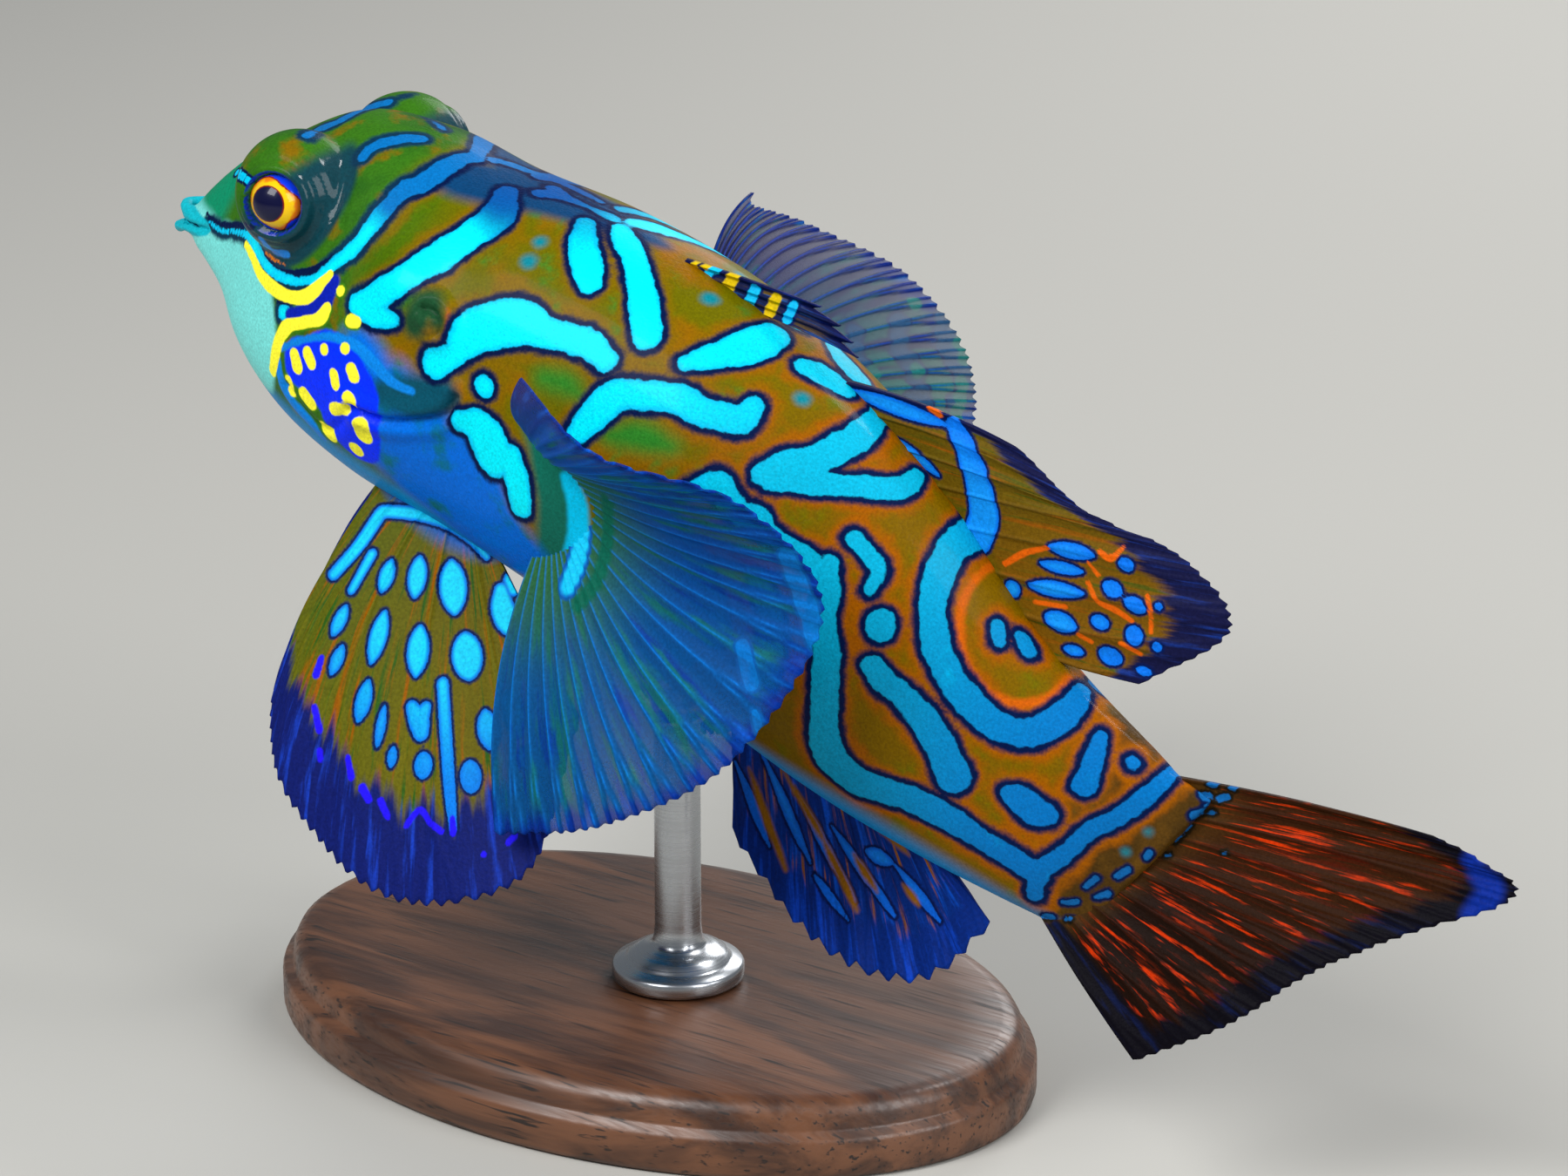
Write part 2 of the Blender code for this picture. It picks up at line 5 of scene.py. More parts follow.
import bmesh
import bpy
import numpy as np
from mathutils import Matrix, Vector
from mathutils.bvhtree import BVHTree


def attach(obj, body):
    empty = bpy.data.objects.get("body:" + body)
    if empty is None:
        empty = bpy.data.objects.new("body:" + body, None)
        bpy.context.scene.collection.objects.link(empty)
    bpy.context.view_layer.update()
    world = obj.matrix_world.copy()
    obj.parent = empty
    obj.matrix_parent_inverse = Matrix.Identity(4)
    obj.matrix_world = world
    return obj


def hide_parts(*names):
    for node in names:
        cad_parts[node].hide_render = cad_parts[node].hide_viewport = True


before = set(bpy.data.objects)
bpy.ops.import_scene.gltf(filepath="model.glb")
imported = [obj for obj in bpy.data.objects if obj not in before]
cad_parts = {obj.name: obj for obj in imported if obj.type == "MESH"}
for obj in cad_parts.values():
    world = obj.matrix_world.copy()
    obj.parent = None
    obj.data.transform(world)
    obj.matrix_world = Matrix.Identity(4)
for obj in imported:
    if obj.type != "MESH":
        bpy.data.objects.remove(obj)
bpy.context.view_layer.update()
mm = 0.001

# Pose of the fish over the stand, the same values as in the solids
pose = {
    "pitch": radians(22.0),
    "twist": radians(14.0),  # the rear turns about the body's axis
    "twistFrom": 24.0,
    "twistTo": 54.0,
    "twistHeight": 3.0,
    "mouthBack": 26.0,
    "mouthHeight": 34.5,
}


def smoothStep(value, start, end):
    t = np.clip((np.asarray(value, float) - start) / (end - start), 0.0, 1.0)
    return t * t * (3.0 - 2.0 * t)


def bump(value, centre, width):
    return np.exp(-(((value - centre) / width) ** 2))


def curveThrough(x, knots, values):
    # cubic Hermite curve with mean slopes; values may have several columns
    knots, values = np.asarray(knots, float), np.asarray(values, float)
    x = np.atleast_1d(np.asarray(x, float))
    slope = np.gradient(values, knots, axis=0)
    i = np.clip(np.searchsorted(knots, x) - 1, 0, len(knots) - 2)
    step = knots[i + 1] - knots[i]
    t = np.clip((x - knots[i]) / step, 0.0, 1.0)
    if values.ndim > 1:
        step, t = step[:, None], t[:, None]
    near = (2 * t**3 - 3 * t**2 + 1) * values[i] + (t**3 - 2 * t**2 + t) * step * slope[i]
    far = (3 * t**2 - 2 * t**3) * values[i + 1] + (t**3 - t**2) * step * slope[i + 1]
    return near + far


def toModel(points):
    # straight fish to its place over the stand, still in millimetres
    points = np.asarray(points, float)
    turn = pose["twist"] * smoothStep(points[:, 0], pose["twistFrom"], pose["twistTo"])
    y, z = points[:, 1], points[:, 2] - pose["twistHeight"]
    right = y * np.cos(turn) + z * np.sin(turn)
    up = pose["twistHeight"] - y * np.sin(turn) + z * np.cos(turn)
    x = points[:, 0] * cos(pose["pitch"]) + up * sin(pose["pitch"]) - pose["mouthBack"]
    height = up * cos(pose["pitch"]) - points[:, 0] * sin(pose["pitch"]) + pose["mouthHeight"]
    return np.stack([x, right, height], 1)


def toFish(points):
    # the way back from toModel
    points = np.asarray(points, float)
    back, rise = points[:, 0] + pose["mouthBack"], points[:, 2] - pose["mouthHeight"]
    x = back * cos(pose["pitch"]) - rise * sin(pose["pitch"])
    up = back * sin(pose["pitch"]) + rise * cos(pose["pitch"]) - pose["twistHeight"]
    turn = pose["twist"] * smoothStep(x, pose["twistFrom"], pose["twistTo"])
    y = points[:, 1] * np.cos(turn) - up * np.sin(turn)
    z = points[:, 1] * np.sin(turn) + up * np.cos(turn) + pose["twistHeight"]
    return np.stack([x, y, z], 1)


# Camera at the photo's angle, and the rays that carry the markings from the picture to the skin
photo = {
    "width": 1800,
    "height": 1350,
    "azimuth": radians(35.0),
    "elevation": radians(20.0),
    "distance": 263.0,
    "pixelsPerMm": 26.28,  # at the aim point
    "aim": (7.25, 0.0, 23.35),
    "sensor": 36.0,
    "misses": range(240, 290, 2),  # depths at which a ray that misses looks for the surface
}


def cameraAxes():
    a, e = photo["azimuth"], photo["elevation"]
    right = np.array((cos(a), sin(a), 0.0))
    back = np.array((sin(a) * cos(e), -cos(a) * cos(e), sin(e)))
    return right, np.cross(back, right), back


def addCamera():
    right, up, back = cameraAxes()
    camera = bpy.data.objects.new("camera", bpy.data.cameras.new("camera"))
    bpy.context.scene.collection.objects.link(camera)
    matrix = Matrix((right, up, back)).transposed().to_4x4()
    matrix.translation = Vector((np.array(photo["aim"]) + back * photo["distance"]) * mm)
    camera.matrix_world = matrix
    camera.data.sensor_width = photo["sensor"]
    camera.data.lens = photo["sensor"] * photo["distance"] * photo["pixelsPerMm"] / photo["width"]
    camera.data.clip_start = 0.01
    bpy.context.scene.camera = camera


def castPixels(tree, pixels):
    # where the camera's rays through these pixels meet the surface, or pass nearest to it
    right, up, back = cameraAxes()
    eyePoint = np.array(photo["aim"]) + back * photo["distance"]
    pixels = np.asarray(pixels, float)
    ways = (pixels[:, :1] - photo["width"] / 2) * right - (pixels[:, 1:2] - photo["height"] / 2) * up
    ways = ways - back * photo["distance"] * photo["pixelsPerMm"]
    ways /= np.linalg.norm(ways, axis=1)[:, None]
    found = []
    for way in ways:
        hit = tree.ray_cast(Vector(eyePoint), Vector(way))[0]
        if hit is None:
            passed = [tree.find_nearest(Vector(eyePoint + way * depth)) for depth in photo["misses"]]
            hit = min(passed, key=lambda nearest: nearest[3])[0]
        found.append(tuple(hit))
    return np.array(found)


addCamera()
print("camera set")


# Materials: sRGB colours, and one function that adds a node with its settings and links
def linear(hexCode, alpha=1.0):
    values = [int(hexCode[k:k + 2], 16) / 255 for k in (1, 3, 5)]
    return tuple(v / 12.92 if v <= 0.04045 else ((v + 0.055) / 1.055) ** 2.4 for v in values) + (alpha,)


def addNode(tree, kind, inputs=None, out=0, **settings):
    item = tree.nodes.new(kind)
    for name, value in settings.items():
        setattr(item, name, value)
    for socket, value in (inputs or {}).items():
        if isinstance(value, bpy.types.NodeSocket):
            tree.links.new(value, item.inputs[socket])
        else:
            item.inputs[socket].default_value = value
    return item.outputs[out]


def newMaterial(name, values):
    material = bpy.data.materials.new(name)
    material.use_nodes = True
    shader = material.node_tree.nodes["Principled BSDF"]
    for socket, value in values.items():
        shader.inputs[socket].default_value = value
    return material, material.node_tree, shader


def layer(tree, below, above, field, start, end):
    # lays one colour over another where the field runs from start to end
    share = addNode(tree, "ShaderNodeMapRange", {0: field, 1: start, 2: end},
                    interpolation_type="SMOOTHSTEP")
    return addNode(tree, "ShaderNodeMix", {0: share, 6: below, 7: above}, out=2, data_type="RGBA")


def addPiece(name, points, faces, material, nodes, fields=None, vectors=None):
    # a piece of the model from points in millimetres
    mesh = bpy.data.meshes.new(name)
    mesh.from_pydata((np.asarray(points, float) * mm).tolist(), [], faces)
    for field, values in (fields or {}).items():
        data = mesh.attributes.new(field, "FLOAT", "POINT").data
        data.foreach_set("value", np.asarray(values, np.float32))
    for field, values in (vectors or {}).items():
        data = mesh.attributes.new(field, "FLOAT_VECTOR", "POINT").data
        data.foreach_set("vector", np.asarray(values, np.float32).ravel())
    mesh.shade_smooth()
    mesh.materials.append(material)
    piece = bpy.data.objects.new(name, mesh)
    bpy.context.scene.collection.objects.link(piece)
    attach(piece, "root")
    if nodes:
        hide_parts(*nodes)
    return piece


# Skin: one closed surface for head, trunk and tail
skin = {
    # stations: x, top, bottom, height of the widest level, half the width
    "stations": np.array([
        (0.35, 1.4, -0.3, 0.5, 0.65),
        (0.9, 2.6, -0.65, 0.6, 1.1),
        (2.2, 4.9, -0.95, 0.8, 1.8),
        (4.0, 7.1, -1.5, 1.1, 2.75),
        (6.4, 9.7, -2.7, 1.4, 4.5),
        (10.0, 11.1, -3.8, 2.0, 6.25),
        (14.8, 11.6, -4.3, 2.8, 7.1),
        (20.4, 12.8, -3.9, 3.8, 7.1),
        (27.8, 13.3, -3.8, 4.1, 6.9),
        (34.4, 12.4, -4.2, 3.6, 6.2),
        (41.0, 10.1, -4.5, 2.6, 4.9),
        (46.6, 7.3, -4.2, 1.8, 3.4),
        (54.0, 5.5, -3.3, 1.1, 1.6),
    ]),
    "noseX": 0.35,
    "tailX": 54.0,
    "finBase": 2.0,  # the fleshy root of the tail fin, past the tail's end
    "sides": 120,
    "ringStep": 0.5,
    "slant": 0.27,
    "slantFrom": 44.0,
    "voxel": 0.165,
    "soften": 5,
    # depth and width of each crease, mm, and the ridge beside it: its share of the depth, how far, width
    "relief": {"gillCover": (0.34, 0.2), "throatCrease": (0.12, 0.2), "gillSlit": (0.34, 0.14)},
    "ridge": (0.6, 0.5, 0.4),
    "gillsAt": 14.0,
    "gillsReach": 8.0,
    # x, y, z, reach, height of the swellings on each side
    "swellings": ((15.4, 6.4, 7.9, 1.5, 0.7), (15.0, 7.0, 3.2, 3.0, 0.45), (26.0, 6.8, 3.2, 2.4, 0.5)),
    "nostril": (3.5, 1.85, 4.9),
    "nostrilRim": (0.14, 0.38, 0.13),  # rise, distance from the pit, width
    "nostrilPit": (0.3, 0.2),  # depth, width
    "poreSwell": (0.4, 0.75),  # rise, width
    "poreRings": (0.09, 0.5),  # rise, spacing
    "poreEnds": (0.9, 1.4),
    # the gill opening on its swelling, and the creases round the gill cover, in pixels of the photo
    "gillPore": (497, 367),
    "gillSlit": ((488, 355), (500, 357), (507, 368), (505, 381)),
    "gillCover": ((404, 468), (439, 482), (479, 483), (510, 476), (523, 456)),
    "throatCrease": ((330, 442), (350, 470), (379, 493), (404, 468)),
}
eye = {
    "bulge": (7.55, 3.85, 7.1),
    "bulgeRadius": 2.88,
    "look": (0.15, 0.97, 0.14),
    "radius": 1.5,
    "out": 1.43,
    "opening": 1.38,
    "cornea": 0.1,
    "pupilAhead": 0.08,
    # rise or depth of the lid and of the groove round it, its distance from the way the eye looks, and width
    "lid": (0.13, 1.6, 0.16),
    "lidGroove": (0.09, 1.93, 0.13),
    # where the folds behind the lid start, are full, fade and end; their depth and spacing
    "folds": (2.0, 2.2, 3.1, 3.5),
    "foldDepth": 0.07,
    "foldStep": 0.55,
    "dishGap": 0.14,  # between the ball and the dish behind it
    # the ragged outer edge of the iris: degrees round from ahead, and mm out
    "fringe": ((11, 1.24), (55, 1.18), (98, 0.98), (125, 1.08), (145, 1.26), (165, 1.3), (180, 1.24),
               (198, 1.08), (215, 1.14), (230, 1.3), (245, 1.14), (262, 0.98), (296, 1.0), (325, 1.2),
               (352, 1.3)),
}
lips = {
    # x and half the width from the corner of the mouth to its tip
    "loop": ((2.0, 1.5), (1.3, 1.3), (0.5, 0.95), (-0.15, 0.5), (-0.5, 0.0)),
    "corner": 1.12,
    "upper": 0.56,
    "lower": -0.72,
    "line": 0.16,  # height of the mouth line at the front, and its rise towards the corner
    "rise": 0.48,
    "thickness": 0.28,
    # depth and width of the line between the lips, and where its crease fades out
    "crease": (0.4, 0.13),
    "creaseEnds": (1.6, 2.6),
}


def stationAt(x, column):
    return curveThrough(x, skin["stations"][:, 0], skin["stations"][:, column])


def bodyRings(x, thin):
    # rings from the back round by the fish's right; thin narrows those past the tail's end
    top, bottom, level, half = (stationAt(x, column)[:, None] for column in (1, 2, 3, 4))
    half = half * thin[:, None]
    turn = np.arange(skin["sides"]) * 2 * pi / skin["sides"]
    across, up = np.sin(turn)[None], np.cos(turn)[None]
    y = half * np.sign(across) * np.abs(across) ** 0.9
    z = np.where(up > 0, level + (top - level) * np.abs(up) ** 0.92,
                 level - (level - bottom) * np.abs(up) ** 0.85)
    outY, outZ = y * (top - bottom) / (2 * half), z - level
    length = np.sqrt(outY**2 + outZ**2)
    for at, side, height, reach, rise in skin["swellings"]:
        for hand in (-1.0, 1.0):
            near = ((x[:, None] - at) ** 2 + (y - hand * side) ** 2 + (z - height) ** 2) / reach**2
            y = y + outY / length * rise * np.exp(-near)
            z = z + outZ / length * rise * np.exp(-near)
    slant = skin["slant"] * np.clip((x - skin["slantFrom"]) / 10.0, 0.0, 1.0)[:, None]
    along = x[:, None] + slant * (z - stationAt(skin["tailX"], 3))
    return np.stack([along + 0 * z, y, z], 2)


def closedTube(rings):
    count, sides = rings.shape[:2]
    faces = [(i * sides + j, i * sides + (j + 1) % sides,
              (i + 1) * sides + (j + 1) % sides, (i + 1) * sides + j)
             for i in range(count - 1) for j in range(sides)]
    faces.append(list(range(sides))[::-1])
    faces.append([(count - 1) * sides + j for j in range(sides)])
    return rings.reshape(-1, 3), faces


def roundBar(path, radius, sides=16):
    path = np.asarray(path, float)
    ways = np.gradient(path, axis=0)
    ways /= np.linalg.norm(ways, axis=1)[:, None]
    turn = np.arange(sides) * 2 * pi / sides
    rings = []
    for point, way, size in zip(path, ways, np.broadcast_to(radius, len(path))):
        side = np.cross(way, (0.0, 0.0, 1.0))
        side /= np.linalg.norm(side)
        lift = np.cross(side, way)
        rings.append(point + size * (np.cos(turn)[:, None] * side + np.sin(turn)[:, None] * lift))
    return closedTube(np.array(rings))


def ballMesh(centre, radius):
    shell = bmesh.new()
    bmesh.ops.create_icosphere(shell, subdivisions=4, radius=1.0)
    points = np.array([v.co for v in shell.verts]) * radius + np.array(centre)
    faces = [[v.index for v in face.verts] for face in shell.faces]
    shell.free()
    return points, faces


def lipPath(tip):
    # from one corner of the mouth round the front to the other, at this height in front
    along = np.linspace(0.0, 1.0, len(lips["loop"]))
    half = np.array([(x, y, lips["corner"] + (tip - lips["corner"]) * t)
                     for (x, y), t in zip(lips["loop"], along)])
    right = curveThrough(np.linspace(0.0, 1.0, 24), along, half)
    left = right[-2::-1] * (1, -1, 1)
    return np.concatenate([right, left])


def fuse(pieces, voxel, soften):
    # one skin over all the pieces
    shell = bmesh.new()
    for points, faces in pieces:
        corners = [shell.verts.new(p) for p in points]
        for face in faces:
            shell.faces.new([corners[v] for v in face])
    bmesh.ops.recalc_face_normals(shell, faces=shell.faces)
    mesh = bpy.data.meshes.new("fuse")
    shell.to_mesh(mesh)
    shell.free()
    item = bpy.data.objects.new("fuse", mesh)
    bpy.context.scene.collection.objects.link(item)
    remesh = item.modifiers.new("fuse", "REMESH")
    remesh.mode = "VOXEL"
    remesh.voxel_size = voxel
    smooth = item.modifiers.new("soften", "SMOOTH")
    smooth.iterations = soften
    graph = bpy.context.evaluated_depsgraph_get()
    result = bpy.data.meshes.new_from_object(item.evaluated_get(graph))
    bpy.data.objects.remove(item)
    return result


def readMesh(mesh):
    points = np.empty(len(mesh.vertices) * 3, np.float32)
    normals = np.empty(len(mesh.vertices) * 3, np.float32)
    mesh.vertices.foreach_get("co", points)
    mesh.vertex_normals.foreach_get("vector", normals)
    faces = [tuple(p.vertices) for p in mesh.polygons]
    return points.reshape(-1, 3).astype(float), normals.reshape(-1, 3).astype(float), faces


def nearestOf(points, samples):
    # distance from each point to the nearest sample
    return np.sqrt(((points[:, None] - samples[None]) ** 2).sum(2)).min(1)


def roundEye(p):
    # offset from the middle of the bulge, height along the way the eye looks, and distance from that line
    axis = np.array(eye["look"]) / np.linalg.norm(eye["look"])
    offset = p - np.array(eye["bulge"])
    height = offset @ axis
    return offset, height, np.linalg.norm(offset - height[:, None] * axis, axis=1), axis


def eyeFolds(p):
    # a lid round the eyeball, and fine folds over the back of the bulge
    offset, height, radius, _ = roundEye(p)
    front = smoothStep(height, 0.4, 1.0)
    behind = smoothStep(offset[:, 0] / np.maximum(radius, 0.1), -0.35, 0.6)
    rise, at, width = eye["lid"]
    lid = rise * bump(radius, at, width)
    depth, at, width = eye["lidGroove"]
    lid = front * (lid - depth * bump(radius, at, width))
    start, full, fade, end = eye["folds"]
    folds = smoothStep(radius, start, full) * (1 - smoothStep(radius, fade, end)) * behind
    waves = 0.5 + 0.5 * np.cos(2 * pi * radius / eye["foldStep"])
    return lid - eye["foldDepth"] * folds * smoothStep(height, -1.6, -0.4) * waves


def mouthCrease(p):
    # the line between the lips, running on as a short crease
    mouth = lips["line"] + lips["rise"] * p[:, 0]
    depth, width = lips["crease"]
    return -depth * bump(p[:, 2], mouth, width) * (1 - smoothStep(p[:, 0], *lips["creaseEnds"]))


def nostril(p):
    # a pit in a low rim
    start = p[np.argmin(np.linalg.norm(p - np.array(skin["nostril"]), axis=1))]
    away = np.linalg.norm(p - start, axis=1)
    rise, at, width = skin["nostrilRim"]
    depth, reach = skin["nostrilPit"]
    return rise * bump(away, at, width) - depth * bump(away, 0.0, reach)


def gillRelief(p, tree):
    # the gill opening on its ringed swelling, and the creases round the gill cover
    pore = toFish(castPixels(tree, [skin["gillPore"]]))
    pore[:, 1] = np.abs(pore[:, 1])
    away = nearestOf(p, pore)
    swell, width = skin["poreSwell"]
    rise, step = skin["poreRings"]
    ringed = 0.5 + 0.5 * np.cos(2 * pi * away / step)
    lift = swell * bump(away, 0.0, width) + rise * ringed * (1 - smoothStep(away, *skin["poreEnds"]))
    share, beside, wide = skin["ridge"]
    for name, (depth, width) in skin["relief"].items():
        pixels = np.array(skin[name], float)
        steps = np.arange(len(pixels))
        path = toFish(castPixels(tree, curveThrough(np.linspace(0, steps[-1], 30), steps, pixels)))
        path[:, 1] = np.abs(path[:, 1])
        away = nearestOf(p, path)
        lift += depth * (share * bump(away, beside, wide) - bump(away, 0.0, width))
    return lift


def relieve(points, normals, faces):
    # eye sockets, lids, folds, mouth, nostrils and gill covers, worked on both sides alike
    hand = np.where(points[:, 1:2] < 0, -1.0, 1.0)
    sign = np.concatenate([np.ones_like(hand), hand, np.ones_like(hand)], 1)
    p = points * sign
    lift = eyeFolds(p) + mouthCrease(p) + nostril(p)
    flank = np.where(np.abs(p[:, 0] - skin["gillsAt"]) < skin["gillsReach"])[0]
    lift[flank] += gillRelief(p[flank], BVHTree.FromPolygons(toModel(points).tolist(), faces))
    # the dish that the eyeball sits in, as wide as it was before the relief
    radius = roundEye(p)[2]
    p = p + normals * sign * lift[:, None]
    _, height, _, axis = roundEye(p)
    floor = eye["out"] + np.sqrt(np.maximum(eye["radius"] ** 2 - radius**2, 0.1)) - eye["dishGap"]
    inside = (1 - smoothStep(radius, eye["opening"] - 0.14, eye["opening"] + 0.02)) * (height > 0.6)
    p = p + axis * (inside * np.minimum(floor - height, 0.0))[:, None]
    return p * sign


def skinPieces():
    x = np.arange(skin["noseX"], skin["tailX"] + skin["finBase"], skin["ringStep"])
    thin = 1.0 - 0.72 * smoothStep(x, skin["tailX"] - 1.5, skin["tailX"] + skin["finBase"])
    pieces = [closedTube(bodyRings(x, thin))]
    for hand in (-1.0, 1.0):
        bulge = np.array(eye["bulge"]) * (1, hand, 1)
        pieces.append(ballMesh(bulge, eye["bulgeRadius"]))
    for height in (lips["upper"], lips["lower"]):
        path = lipPath(height)
        size = lips["thickness"] * (1.0 + 0.12 * bump(path[:, 1], 0.0, 0.8))
        pieces.append(roundBar(path, size))
    return pieces


fused = fuse(skinPieces(), skin["voxel"], skin["soften"])
skinPoints, skinNormals, skinFaces = readMesh(fused)
skinPoints = relieve(skinPoints, skinNormals, skinFaces)
skinModel = toModel(skinPoints)
skinTree = BVHTree.FromPolygons(skinModel.tolist(), skinFaces)
print("skin shaped,", len(skinFaces), "faces")

# Markings, each a stroke of points in the photo's pixels: x, y and half the width
bands = {
    "underEye": ((238, 254, 2), (257, 265, 3), (274, 266, 4), (286, 271, 4), (295, 288, 5), (309, 309, 5),
                 (322, 318, 5), (338, 323, 6), (355, 322, 6), (372, 313, 6), (390, 299, 7), (407, 284, 8),
                 (426, 261, 8), (445, 236, 9), (465, 218, 10), (484, 211, 10), (499, 201, 10),
                 (515, 190, 9), (534, 182, 7), (557, 182, 6), (584, 188, 6), (610, 197, 6), (650, 212, 5),
                 (690, 232, 4)),
    "cheek": ((411, 349, 12), (434, 338, 15), (457, 322, 15), (480, 307, 15), (503, 295, 16),
              (526, 280, 16), (549, 265, 16), (566, 253, 16), (578, 236, 15), (582, 220, 12)),
    "cheekFoot": ((411, 349, 12), (430, 361, 14), (449, 367, 9)),
    "arch": ((530, 395, 18), (545, 380, 24), (572, 372, 28), (602, 370, 25), (625, 380, 19),
             (653, 387, 17), (681, 398, 17), (694, 412, 15)),
    "archBlob": ((501, 416, 19), (515, 410, 15), (532, 400, 14)),
    "archDot": ((556, 443, 10), (558, 446, 9)),
    "flank": ((530, 484, 12), (548, 488, 16), (560, 505, 20), (566, 524, 18)),
    "flankFoot": ((586, 526, 12), (594, 555, 14), (597, 582, 10)),
    "fingerFront": ((672, 256, 12), (669, 284, 17), (675, 312, 17), (678, 326, 13)),
    "fingerRear": ((712, 262, 8), (717, 273, 11), (728, 295, 13), (735, 326, 16), (740, 357, 18),
                   (742, 385, 17)),
    "wedge": ((785, 417, 9), (813, 410, 14), (846, 402, 18), (874, 391, 20), (888, 384, 16)),
    "lower": ((664, 497, 14), (684, 474, 18), (707, 454, 18), (743, 454, 18), (776, 457, 18),
              (804, 471, 18), (830, 477, 18), (853, 481, 18), (863, 467, 14)),
    "fork": ((880, 543, 16), (906, 538, 22), (926, 532, 18), (969, 511, 18), (994, 493, 16),
             (1009, 476, 12)),
    "forkLower": ((890, 545, 20), (934, 554, 15), (987, 557, 13), (1041, 557, 13), (1053, 545, 10)),
    "upperDash": ((925, 421, 9), (945, 430, 12), (968, 446, 10)),
    "island": ((779, 567, 6), (801, 556, 10), (822, 553, 14), (836, 575, 14), (850, 590, 14),
               (870, 595, 14), (883, 608, 8)),
    "finEdge": ((853, 598, 12), (880, 610, 12), (905, 628, 12), (930, 645, 13), (945, 660, 12)),
    "loopBack": ((1098, 489, 8), (1112, 521, 11), (1123, 550, 14), (1128, 575, 18), (1131, 595, 20),
                 (1118, 612, 20), (1097, 625, 18), (1082, 650, 17), (1072, 685, 16), (1074, 735, 17),
                 (1090, 775, 17), (1112, 806, 17), (1140, 830, 17), (1178, 841, 17), (1212, 827, 17),
                 (1234, 806, 15), (1243, 792, 12)),
    "squiggle": ((979, 618, 9), (999, 640, 9), (1008, 656, 9), (999, 676, 8)),
    "stone": ((1011, 714, 15), (1011, 723, 15)),
    "club": ((1003, 766, 13), (1016, 783, 14), (1036, 799, 14), (1056, 820, 15), (1076, 848, 17),
             (1088, 875, 19), (1094, 889, 21)),
    "drop": ((1265, 845, 6), (1257, 866, 10), (1250, 886, 13), (1246, 900, 15)),
    "anvil": ((1157, 909, 9), (1176, 921, 15), (1190, 932, 15), (1206, 936, 10)),
    "speck": ((1299, 874, 7), (1303, 876, 7)),
    "chevron": ((1348, 885, 8), (1324, 908, 10), (1288, 935, 10), (1245, 958, 10), (1222, 981, 10),
                (1192, 1005, 12), (1187, 1028, 9)),
    "keel": ((1192, 1005, 12), (1162, 985, 12), (1119, 958, 12), (1079, 935, 14), (1039, 915, 14),
             (1006, 905, 14), (976, 892, 15), (953, 869, 16), (946, 832, 16), (947, 790, 16),
             (949, 751, 15), (944, 713, 14), (950, 680, 13), (952, 649, 12)),
    # the flank behind the fin, which the photo hides, goes on in the same way
    "behindArc": ((738, 562, 12), (758, 598, 15), (788, 640, 15), (812, 686, 14), (822, 728, 11)),
    "behindDash": ((872, 668, 10), (884, 705, 13), (884, 750, 13), (876, 792, 10)),
    "behindLow": ((698, 628, 8), (708, 648, 11), (728, 676, 12), (750, 706, 9)),
    "behindSpot": ((775, 738, 9), (782, 748, 9)),
    "browBack": ((416, 181, 5), (426, 170, 5), (441, 164, 6), (465, 159, 6), (484, 159, 5)),
    "browFar": ((352, 156, 4), (368, 147, 5), (385, 141, 5), (400, 133, 5), (420, 124, 5), (445, 117, 4)),
    "napeDash": ((620, 222, 7), (650, 226, 8), (680, 236, 8), (705, 250, 7)),
    "aquaDot": ((324, 358, 9), (328, 359, 9)),
    "loopDotFront": ((1146, 719, 7), (1147, 736, 7)),
    "loopDotRear": ((1173, 732, 7), (1181, 748, 8)),
}
# small soft dots between the bands
dots = ((620, 278, 6), (607, 300, 8), (815, 343, 7), (921, 458, 8), (1318, 955, 4), (1292, 978, 4))
# small ovals in rows over the tail's base, on the skin and the tail fin
stemDots = (((1200, 1052, 3), (1208, 1053, 3)), ((1220, 1036, 3), (1236, 1035, 3)),
            ((1246, 1018, 3), (1259, 1008, 4)), ((1258, 1030, 3), (1272, 1026, 4)),
            ((1282, 1006, 4), (1295, 998, 4)), ((1317, 984, 5), (1319, 980, 5)),
            ((1226, 1055, 3), (1231, 1055, 3)), ((1350, 966, 2), (1367, 947, 3)),
            ((1371, 936, 4), (1380, 930, 4)), ((1378, 913, 4), (1388, 912, 4)),
            ((1386, 893, 4), (1392, 892, 4)), ((1391, 932, 3), (1395, 932, 3)),
            ((1400, 916, 4), (1410, 914, 4)), ((1411, 899, 3), (1416, 901, 3)),
            ((1405, 979, 2), (1409, 979, 2)), ((1340, 982, 2), (1344, 981, 2)))
# the blue rim of the cheek patch, and a line under the eye
blues = {
    "patchTop": ((323, 399, 4), (349, 390, 4), (388, 388, 5), (411, 399, 6), (430, 418, 6), (449, 438, 5),
                 (472, 449, 4)),
    "chinStripe": ((318, 410, 4), (322, 434, 5), (334, 461, 6), (352, 482, 6), (368, 500, 6)),
    "eyeViolet": ((300, 275, 3), (312, 288, 4), (330, 292, 3)),
}
# a tick of orange under the eye
underEyeTick = ((305, 290, 1), (315, 298, 2), (328, 304, 1))
# patches of bright green on the shoulder
greens = {
    "shoulderFront": ((624, 434, 12), (648, 440, 14), (664, 452, 8)),
    "shoulderRear": ((700, 500, 12), (735, 501, 20), (768, 512, 12)),
    "gillTop": ((452, 352, 8), (468, 344, 10)),
}
